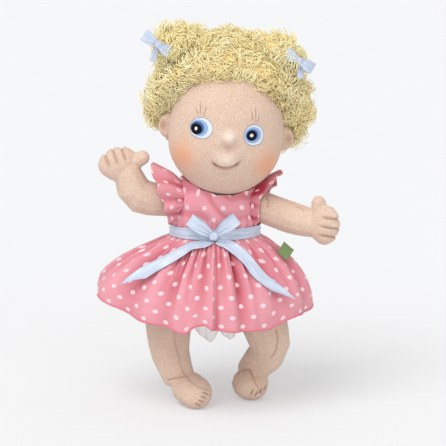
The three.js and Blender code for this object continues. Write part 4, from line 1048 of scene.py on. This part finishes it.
arc_turns = np.linspace(-math.pi, math.pi, 721)
arc_half = WAIST_HALF + SKIRT_EASE
arc_radii = 1 / np.hypot(np.sin(arc_turns) / arc_half[0], np.cos(arc_turns) / arc_half[1])
arc_steps = np.hypot(np.diff(arc_radii * np.sin(arc_turns)), np.diff(arc_radii * np.cos(arc_turns)))
arc_lengths = np.concatenate([[0], np.cumsum(arc_steps)])
bodice = remade("bodice", "dotted_bodice", cotton, 0.6, 6)
spots = points_of(bodice.data)
turn, height = round_the_body(spots)
outward = np.stack([np.sin(turn), -np.cos(turn), np.zeros(len(turn))], axis=1)
gathers = 0.5 * np.cos(34 * turn + 2 * np.sin(3 * turn)) * (1 - smooth(*GATHERED_TO, height))
pulls = 0.85 * np.sin(0.35 * height + 5 * turn + 1.5 * np.sin(4 * turn)) * smooth(*PULLED_FROM, height)
raised = NECKLINE_RISE * smooth(*NECKLINE_FROM, height)
out = (gathers + pulls) * smooth(*SEAMED_TO, height)
spots += outward * (out * MM)[:, None]
spots[:, 2] += raised * MM
move_points(bodice.data, spots)
lay_out(bodice.data, np.interp(turn, arc_turns, arc_lengths), height)
# Painted shade where the bodice is drawn in.
paint(bodice.data, "fold_shade", 0.35 * smooth(0.1, 0.85, -out))
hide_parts("bodice")
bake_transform(bodice)

# Sleeves: a gathered frill of the cotton, sewn along the top of each armhole. It is widest over the
# shoulder, stands up there and runs out at the underarm, and the left one is flatter at its front.
ARM_RADIUS = 13.6
ARMHOLE_EASE = 3.4
SLEEVE_LAP = 2.5
SLEEVE_START = math.radians(-48)
SLEEVE_RUFFLES = 7
SLEEVE_REACH = 15.0
SLEEVE_STAND = 11.0
SLEEVE_PROUD = 2.5
SLEEVE_WAVE = 3.0
SLEEVE_CURL = 1.6
SLEEVE_GATHERS = 26
SLEEVE_GRID = (300, 24)
# Half the torso's width and depth at these heights, as its solid has them.
TORSO_HEIGHTS = (151.0, 162.0, 173.0, 187.0, 191.0, 192.0)
TORSO_HALF_WIDTHS = (35.5, 36.0, 34.9, 31.7, 25.2, 0.1)
TORSO_HALF_DEPTHS = (25.0, 25.0, 23.3, 18.5, 12.0, 0.1)
CHEST_LEAN = math.radians(3.8)


def inside_chest(x, y, z, proud):
    """Whether a point, in millimetres from the middle of the feet, is within the leaning chest."""
    waist = TORSO_HEIGHTS[0]
    lean = CHEST_LEAN * smooth(waist, TORSO_HEIGHTS[2], z)
    upright_x = x * np.cos(lean) - (z - waist) * np.sin(lean)
    upright_z = waist + x * np.sin(lean) + (z - waist) * np.cos(lean)
    half_x = np.interp(upright_z, TORSO_HEIGHTS, TORSO_HALF_WIDTHS) + proud
    half_y = np.interp(upright_z, TORSO_HEIGHTS, TORSO_HALF_DEPTHS) + proud
    return (upright_x / half_x) ** 2 + (y / half_y) ** 2 <= 1


def armhole_depth(centre, way, angle, radius, proud):
    """How far in from the shoulder the chest's surface lies, on a ball about the shoulder, and how far it
    is there from the line of the arm."""
    out, inward = np.zeros_like(angle), np.full_like(angle, radius)
    for _ in range(30):
        middle = (out + inward) / 2
        reach = np.sqrt(np.maximum(0, radius ** 2 - middle ** 2))
        height = centre[2] + reach * np.sin(angle)
        within = inside_chest(centre[0] - way * middle, -reach * np.cos(angle), height, proud)
        inward = np.where(within, middle, inward)
        out = np.where(within, out, middle)
    return out, np.sqrt(np.maximum(0, radius ** 2 - out ** 2))


def sleeve_fullness(u, front):
    """How full the frill is, from its share at the front of the underarm to 1 over the shoulder."""
    return front + (1 - front) * smooth(0.27, 0.52, u)


def sleeve_wave(u, v):
    """The ruffles along the frill's free edge, from -1 to 1."""
    return np.sin(2 * math.pi * SLEEVE_RUFFLES * u + 0.9 * np.sin(5 * u) + 0.5 * v)


def sleeve_surface(side, way, forward, front):
    """The frill, reaching out of the armhole and standing up from it. It lies closer to the chest and to
    the arm where it is less full."""
    centre = np.array(joints[f"{side}_shoulder_raise"]["pos_m"]) / MM - skirt_middle / MM
    seam = ARM_RADIUS + ARMHOLE_EASE + SLEEVE_LAP

    def surface(u, v):
        angle = SLEEVE_START + (math.pi - 2 * SLEEVE_START) * u
        full = sleeve_fullness(u, front)
        inward, rise = armhole_depth(centre, way, angle, seam, SLEEVE_PROUD - 1.1 * (1 - full))
        width = np.sin(math.pi * (0.03 + 0.94 * u)) * full
        over = np.maximum(0, np.sin(angle))
        wave = SLEEVE_WAVE * v ** 0.8 * full * sleeve_wave(u, v)
        gather = 0.35 * np.sin(2 * math.pi * SLEEVE_GATHERS * u)
        gather = gather * smooth(0, 0.1, v) * (1 - smooth(0.2, 0.6, v))
        radius = rise + (seam - rise) * smooth(0, 0.5, v)
        radius += v * (1.2 + width * SLEEVE_STAND * (0.45 + 0.55 * over))
        radius = radius + wave + gather * full - (seam - ARM_RADIUS) * v * (1 - full)
        curl = SLEEVE_CURL * v * full * np.cos(2 * math.pi * SLEEVE_RUFFLES * u + 1.0)
        out = v * (1 - 4 * (1 - full) + inward + SLEEVE_REACH * width * (0.55 + 0.45 * over))
        out = out - inward + curl * width
        carried = np.maximum(0, out) * math.tan(math.radians(forward))
        return np.stack([
            centre[0] + way * out,
            -radius * np.cos(angle) - carried,
            centre[2] + radius * np.sin(angle)], axis=-1) * MM + skirt_middle
    return surface


for side, way, forward, front in (("right", -1, 6, 1.0), ("left", 1, 30, 0.08)):
    surface = sleeve_surface(side, way, forward, front)
    sleeve = cloth_sheet(f"{side}_frilled_sleeve", surface, *SLEEVE_GRID, cotton, COTTON_THICKNESS)
    u, v = cloth_grid(*SLEEVE_GRID)
    # Painted shade in the ruffles' hollows and inside the flatter front of the left frill.
    hollow = ((1 - sleeve_wave(u, v)) / 2) ** 2
    full = sleeve_fullness(u, front)
    frill_inside_shade = 4 * full * (1 - full) * (1 - smooth(0.55, 1, v))
    paint(sleeve.data, "fold_shade", np.minimum(1, hollow * (0.85 - 0.6 * v) + frill_inside_shade).ravel())
    shoulder = Vector(joints[f"{side}_shoulder_raise"]["pos_m"])
    end = shoulder + Vector((way * 24 * MM, 0, 0))
    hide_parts(f"{side}_sleeve")
    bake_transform(sleeve)

# Shoulder seams: each arm is closed at its top and sewn to the body with a ladder stitch of skin-coloured
# thread, which the solid shows as a ring. It takes the thread's own twist and colour.
for side in ("right", "left"):
    seam = frame["nodes"][f"{side}_shoulder_seam"]
    seam.data.materials.clear()
    seam.data.materials.append(seam_thread)

# Back closure: a strip of soft hook-and-loop tape down the open back of the bodice. Its ground is woven as
# smooth and close as satin stitch.
tape = satin_stitch("pale_pink_tape", "#f3dfe1", "#e8cdd1")
closure = remade("back_closure", "back_closure_tape", tape, 0.5, 3)
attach(closure, "trunk")
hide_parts("back_closure")

# Waist ribbon and bow: 10 mm polyester satin, sewn over the waist seam and tied at the front. Its
# floats of long thread run along it, so it shines across and folds with soft bright edges. Lighter
# streaks of painted sheen run along it.
satin, tree, shader = new_material("pale_blue_satin", Roughness=0.28, Sheen_Weight=0.2, Anisotropic=0.6)
shader.inputs["Specular IOR Level"].default_value = 0.5
along_ribbon = add(tree, "ShaderNodeTexCoord").outputs["UV"]
floats = add(tree, "ShaderNodeTexWave", {
    "Vector": along_ribbon, "Scale": THREAD_WAVE / 0.5, "Distortion": 0.6}, bands_direction="Y")
drawn_out = add(tree, "ShaderNodeVectorMath", {0: along_ribbon, 1: (0.07, 0.4, 1)}, operation="MULTIPLY")
# Painted sheen: lighter streaks drawn out along the ribbon.
sheen_streaks = add(tree, "ShaderNodeTexNoise", {"Vector": drawn_out.outputs[0], "Scale": 1.0, "Detail": 3.0})
shine = add(tree, "ShaderNodeMapRange", {"Value": sheen_streaks.outputs["Fac"], "From Min": 0.25, "From Max": 0.75})
blue = add(tree, "ShaderNodeMixRGB", {
    "Fac": shine.outputs["Result"], "Color1": linear("#afbdd5"), "Color2": linear("#d1dae8")})
tree.links.new(blue.outputs["Color"], shader.inputs["Base Color"])
ribs = add(tree, "ShaderNodeBump", {"Height": floats.outputs["Fac"], "Strength": 0.12, "Distance": 0.1 * MM})
tree.links.new(ribs.outputs["Normal"], shader.inputs["Normal"])

RIBBON_THICKNESS = 0.35
# Pulled tight round the waist, the ribbon is drawn in a little.
RIBBON_WIDTH = 9.2
RIBBON_STAND = 2.7
KNOT_HALF = np.array([3.9, 3.3, 3.8])
LOOP_START = 3.0
LOOP_LENGTH = 24.5
LOOP_WIDTH = 10.5
LOOP_PUFF = 4.0
ribbon_low, ribbon_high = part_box("waist_ribbon")
ribbon_middle = (ribbon_low.z + ribbon_high.z) / 2 / MM


def band_surface(u, v):
    """The ribbon round the waist, a little rippled."""
    angle = 2 * math.pi * u + math.pi / 2
    ripple = 0.35 * np.sin(9 * angle) * np.sin(math.pi * v)
    ripple += 0.25 * np.cos(4 * math.pi * v + np.sin(3 * angle))
    half_x, half_y = WAIST_HALF + RIBBON_STAND
    radius = 1 / np.hypot(np.cos(angle) / half_x, np.sin(angle) / half_y) + ripple
    height = ribbon_middle + (0.5 - v) * RIBBON_WIDTH
    return np.stack([radius * np.cos(angle), radius * np.sin(angle), height], axis=-1) * MM + skirt_middle


band = cloth_sheet("satin_waist_ribbon", band_surface, 240, 16, satin, RIBBON_THICKNESS)
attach(band, "trunk")
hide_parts("waist_ribbon")

knot_low, knot_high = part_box("bow_knot")
knot_middle = np.array((knot_low + knot_high) / 2) / MM
unit, faces = ball(5)
folds = 0.06 * np.cos(9 * unit[:, 0] + 2 * unit[:, 2])
boxy = unit / np.maximum(1e-9, (np.abs(unit) ** 3).sum(axis=1) ** (1 / 3))[:, None]
knot_points = knot_middle + boxy * (1 + folds)[:, None] * KNOT_HALF
knot = new_piece("satin_bow_knot", knot_points * MM, faces, satin)
lay_out(knot.data, knot_points[:, 2], knot_points[:, 0])
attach(knot, "trunk")
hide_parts("bow_knot")


def loop_surface(centre, degrees, start, length, width, puff):
    """A loop of ribbon that leaves a knot along a heading and comes back behind itself, pleated there."""
    angle = math.radians(degrees)
    out = np.array([math.cos(angle), 0, math.sin(angle)])
    across = np.array([-math.sin(angle), 0, math.cos(angle)])
    opening = 0.14 * math.pi

    def surface(u, v):
        turn = opening + 2 * (math.pi - opening) * u
        along = start + (length - start) * (math.cos(opening) - np.cos(turn)) / (1 + math.cos(opening))
        flare = 0.45 + 0.55 * smooth(0, 0.65 * length, along)
        pleat = 0.9 * np.cos(5 * math.pi * v) * (1 - smooth(0, 0.7 * length, along))
        bow = -puff * np.sin(turn) + pleat + 0.8 * np.sin(math.pi * v) * smooth(0.3 * length, length, along)
        return (centre + along[..., None] * out + ((v - 0.5) * width * flare)[..., None] * across
                + bow[..., None] * np.array([0, 1, 0])) * MM
    return surface


for side, degrees in (("right", 145), ("left", 38)):
    surface = loop_surface(knot_middle, degrees, LOOP_START, LOOP_LENGTH, LOOP_WIDTH, LOOP_PUFF)
    loop = cloth_sheet(f"{side}_satin_bow_loop", surface, 90, 20, satin, RIBBON_THICKNESS)
    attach(loop, "trunk")
    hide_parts(f"{side}_bow_loop")


def spline(points, share):
    """A smooth line through points (a Catmull-Rom curve), at shares of its way from 0 to 1."""
    points = np.array(points, dtype=float)
    padded = np.vstack([2 * points[0] - points[1], points, 2 * points[-1] - points[-2]])
    place = np.clip(share, 0, 1) * (len(points) - 1)
    index = np.minimum(place.astype(int), len(points) - 2)
    t = (place - index)[..., None]
    a, b, c, d = (padded[index + i] for i in range(4))
    bend, twist = 2 * a - 5 * b + 4 * c - d, 3 * b - a - 3 * c + d
    return 0.5 * (2 * b + (c - a) * t + bend * t ** 2 + twist * t ** 3)


def skirt_crests(angle, turn, below):
    """The swell of the skirt's lap, for what lies over its crests."""
    swell = smooth(-0.12, -0.03, turn) * (1 - smooth(0.01, 0.08, turn))
    return 4.5 * swell * below ** 0.7


TAIL_WIDTH = 10.5
# Each route is a list of places on the skirt: degrees from the front, and the share of its fall.
TAILS = {
    "right": {
        "route": [(-2, 0.02), (-10, 0.03), (-21, 0.045), (-34, 0.08),
                  (-44, 0.18), (-52, 0.32), (-57, 0.47), (-61, 0.68)],
        "slant": 1, "twist": 0.7},
    "left": {
        "route": [(2, 0.02), (10, 0.03), (20, 0.05), (31, 0.16), (38, 0.35), (45, 0.53), (54, 0.74)],
        "slant": 0, "twist": -1.0},
}


def tail_surface(route, slant, twist):
    """A ribbon end that lies over the crests of the skirt's folds, turns on edge and is cut at a slant."""
    def over(places, lift=0.0):
        return skirt_place(places[..., 0] / 360, places[..., 1], lift, folds=skirt_crests)

    def surface(u, v):
        t = u * (1 - 0.16 * np.abs(v - slant))
        place = spline(route, t)
        forward = over(spline(route, t + 0.02)) - over(spline(route, t - 0.02))
        step = np.array([7.0, 0.0]), np.array([0.0, 0.02])
        along = over(place + step[0]) - over(place - step[0])
        down = over(place + step[1]) - over(np.maximum(place - step[1], [-360, 0]))
        out = unit_rows(np.cross(down, along))
        across = unit_rows(np.cross(unit_rows(forward), out))
        width = TAIL_WIDTH * (0.45 + 0.55 * smooth(0, 0.32, u))
        bank = 0.14 * np.sin(9.5 * u + 0.6) * smooth(0.1, 0.3, u) + twist * smooth(0.66, 1.0, u)
        pleat = 0.5 * np.cos(3 * math.pi * v) * (1 - smooth(0.05, 0.45, u))
        pleat += 0.25 * np.sin(2 * math.pi * v + 5 * u)
        lift = 1.0 + 0.5 * width * np.abs(np.sin(bank)) + 0.6 * np.sin(6 * u + 1) ** 2 + pleat
        aside = (v - 0.5) * width
        return (over(place) + out * ((lift + aside * np.sin(bank)) * MM)[..., None]
                + across * (aside * np.cos(bank) * MM)[..., None])
    return surface


for side, tail in TAILS.items():
    piece = cloth_sheet(f"{side}_satin_bow_tail", tail_surface(**tail), 120, 14, satin, RIBBON_THICKNESS)
    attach(piece, "trunk")
    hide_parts(f"{side}_bow_tail")

# Hair bows: a short length of the satin ribbon tied round the foot of each bunch, in two loops. The one
# end that shows hangs down between the curls.
HAIR_KNOT_HALF = np.array([2.8, 2.4, 2.8])
HAIR_LOOP_START = 0.5
HAIR_LOOP_LENGTHS = (14.0, 12.5)
HAIR_LOOP_WIDTH = 9.5
HAIR_LOOP_PUFF = 2.4
HAIR_END_LENGTH = 14.0
HAIR_END_WIDTH = 5.0


def end_surface(centre, degrees, length, width):
    """A short ribbon end that hangs from a knot, narrow there and a little curled."""
    angle = math.radians(degrees)
    out = np.array([math.cos(angle), 0, math.sin(angle)])
    across = np.array([-math.sin(angle), 0, math.cos(angle)])

    def surface(u, v):
        aside = (v - 0.5) * width * (0.4 + 0.6 * smooth(0, 0.5, u))
        bow = 1.3 * np.sin(2.6 * u + 0.6) + 0.5 * np.cos(3 * math.pi * v) * (1 - u) + 0.3 * aside * u
        return (centre + (1.0 + length * u)[..., None] * out + aside[..., None] * across
                + bow[..., None] * np.array([0, 1, 0])) * MM
    return surface


for side, way, lean in (("right", -1, 152), ("left", 1, -24)):
    centre = np.array([way * HAIR_BOW[0] - HAIR_BOW_ASIDE, *HAIR_BOW[1:]])
    bow_points = centre + boxy * (1 + folds)[:, None] * HAIR_KNOT_HALF
    bow = new_piece(f"{side}_hair_bow_knot", bow_points, faces, satin)
    lay_out(bow.data, boxy[:, 2] * 3, boxy[:, 0] * 3)
    bow.data.transform(head_frame)
    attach(bow, "head_group")
    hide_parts(f"{side}_hair_bow")
    first_loop, second_loop = (
        loop_surface(centre, lean + turned, HAIR_LOOP_START, length, HAIR_LOOP_WIDTH, HAIR_LOOP_PUFF)
        for turned, length in zip((0, 180), HAIR_LOOP_LENGTHS))
    end = end_surface(centre, -90 + 14 * way, HAIR_END_LENGTH, HAIR_END_WIDTH)
    parts = {
        "loop_1": (first_loop, (0.01, 0.028), 0.00028, "folded"),
        "loop_2": (second_loop, (0.01, 0.025), 0.00025, "folded"),
        "end": (end, (0.01, 0.0145), 0.00008, "hung"),
    }
    for part, (surface, flat, area, held) in parts.items():
        ribbon = cloth_sheet(f"{side}_hair_bow_{part}", surface, 60, 12, satin, RIBBON_THICKNESS)
        ribbon.data.transform(head_frame @ Matrix.Scale(1 / MM, 4))
        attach(ribbon, "head_group")

# Woven label: a small damask square, caught into the skirt by one corner and left bare. Its ribs of olive
# thread catch the light in fine lines, with paler flecks where the other threads show.
LABEL_RIB = 0.6
LABEL_BOW = 0.6
label_weave, tree, shader = new_material("olive_damask_label", Roughness=0.7)
shader.inputs["Specular IOR Level"].default_value = 0.3
label_place = add(tree, "ShaderNodeTexCoord").outputs["UV"]
rib = add(tree, "ShaderNodeTexWave", {
    "Vector": label_place, "Scale": THREAD_WAVE / LABEL_RIB, "Distortion": 0.8}, bands_direction="Y")
floats = add(tree, "ShaderNodeTexNoise", {"Vector": label_place, "Scale": 0.9, "Detail": 3.0})
ribbed = add(tree, "ShaderNodeMixRGB", {
    "Fac": rib.outputs["Fac"], "Color1": linear("#6c8552"), "Color2": linear("#889f6a")})
fleck = add(tree, "ShaderNodeMapRange", {
    "Value": floats.outputs["Fac"], "From Min": 0.5, "From Max": 0.7, "To Max": 0.5})
flecked = add(tree, "ShaderNodeMixRGB", {
    "Fac": fleck.outputs["Result"], "Color1": ribbed.outputs["Color"], "Color2": linear("#a7b68a")})
tree.links.new(flecked.outputs["Color"], shader.inputs["Base Color"])
raised_ribs = add(tree, "ShaderNodeBump", {
    "Height": rib.outputs["Fac"], "Strength": 0.5, "Distance": 0.15 * MM})
tree.links.new(raised_ribs.outputs["Normal"], shader.inputs["Normal"])

corners = points_of(frame["nodes"]["woven_label"].data)
label_middle = corners.mean(axis=0)
label_way = np.linalg.svd(corners - label_middle)[2]
from_middle = corners - label_middle
reaches = np.linalg.norm(from_middle, axis=1)
diagonal = from_middle[reaches.argmax()] / reaches.max()
diagonal = unit_rows(diagonal - label_way[2] * (diagonal @ label_way[2]))
other = np.cross(label_way[2], diagonal)
edges = [unit_rows(diagonal + other), unit_rows(diagonal - other)]


def label_surface(u, v):
    """A square in the plane of the label's solid, bowed a little."""
    side = reaches.max() * math.sqrt(2)
    bow = LABEL_BOW * np.sin(math.pi * u) * MM
    return (label_middle + ((u - 0.5) * side)[..., None] * edges[0] + ((v - 0.5) * side)[..., None] * edges[1]
            + bow[..., None] * label_way[2])


label = cloth_sheet("bare_woven_label", label_surface, 24, 24, label_weave, 0.45)
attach(label, "trunk")
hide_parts("woven_label")

# Underpants: fine white cotton lawn, gathered by a covered elastic at the top. The leg edges are frilled,
# and fall between the legs in two soft scallops. Lawn is thin, smooth and matt, with a faint line of threads.

# How far the lower edge is drawn up, at places across the doll, and the heights between which it is.
LOBE_EDGE = [
    (-50, 14), (-24, 12), (-20, 9), (-14, 4.5), (-6, 0), (-3, 2.5),
    (1, 11), (5.5, 5), (10.5, 1), (17, 3.5), (23, 9), (45, 14)]
LOBE_HEIGHTS = (56, 84)
LEG_FRILL_DEPTH = 1.2
LEG_FRILL_PITCH = 6.5
ELASTIC_RIBS = 90
LAWN_SHEETS = {
    "bloomers": ("cotton_underpants", "white_cotton", (0.2, 0.055), None, "gathered", "torso_skin"),
    "bloomers_elastic": (
        "covered_elastic", "white_elastic", (0.2, 0.01), 0.0015, "stretched", "cotton_underpants"),
}
white_cotton, tree, shader = new_material("white_cotton_lawn", Roughness=0.85, Sheen_Weight=0.1)
shader.inputs["Specular IOR Level"].default_value = 0.15
lawn_place = add(tree, "ShaderNodeTexCoord").outputs["Object"]
lawn = add(tree, "ShaderNodeTexWave", {
    "Vector": lawn_place, "Scale": THREAD_WAVE / (WEAVE_PITCH * MM), "Distortion": 0.5}, bands_direction="Z")
lawn_tone = add(tree, "ShaderNodeMixRGB", {
    "Fac": lawn.outputs["Fac"], "Color1": linear("#ebe9e6"), "Color2": linear("#f8f7f5")})
tree.links.new(lawn_tone.outputs["Color"], shader.inputs["Base Color"])
lawn_bump = add(tree, "ShaderNodeBump", {
    "Height": lawn.outputs["Fac"], "Strength": 0.2, "Distance": 0.1 * MM})
tree.links.new(lawn_bump.outputs["Normal"], shader.inputs["Normal"])

for node, (name, slot, flat, area, held, under) in LAWN_SHEETS.items():
    piece = remade(node, name, white_cotton, 0.6, 5)
    spots = points_of(piece.data)
    if node == "bloomers":
        x, z = spots[:, 0] / MM, spots[:, 2] / MM
        low = 1 - smooth(*LOBE_HEIGHTS, z)
        spots[:, 2] += low * np.interp(x, *zip(*LOBE_EDGE)) * MM
        spots[:, 1] += low * LEG_FRILL_DEPTH * np.sin(2 * math.pi * x / LEG_FRILL_PITCH) * MM
    else:
        angle = np.arctan2(spots[:, 1], spots[:, 0])
        spots[:, :2] *= 1 + 0.006 * np.sin(ELASTIC_RIBS * angle)[:, None]
    move_points(piece.data, spots)
    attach(piece, "trunk")
    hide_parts(node)
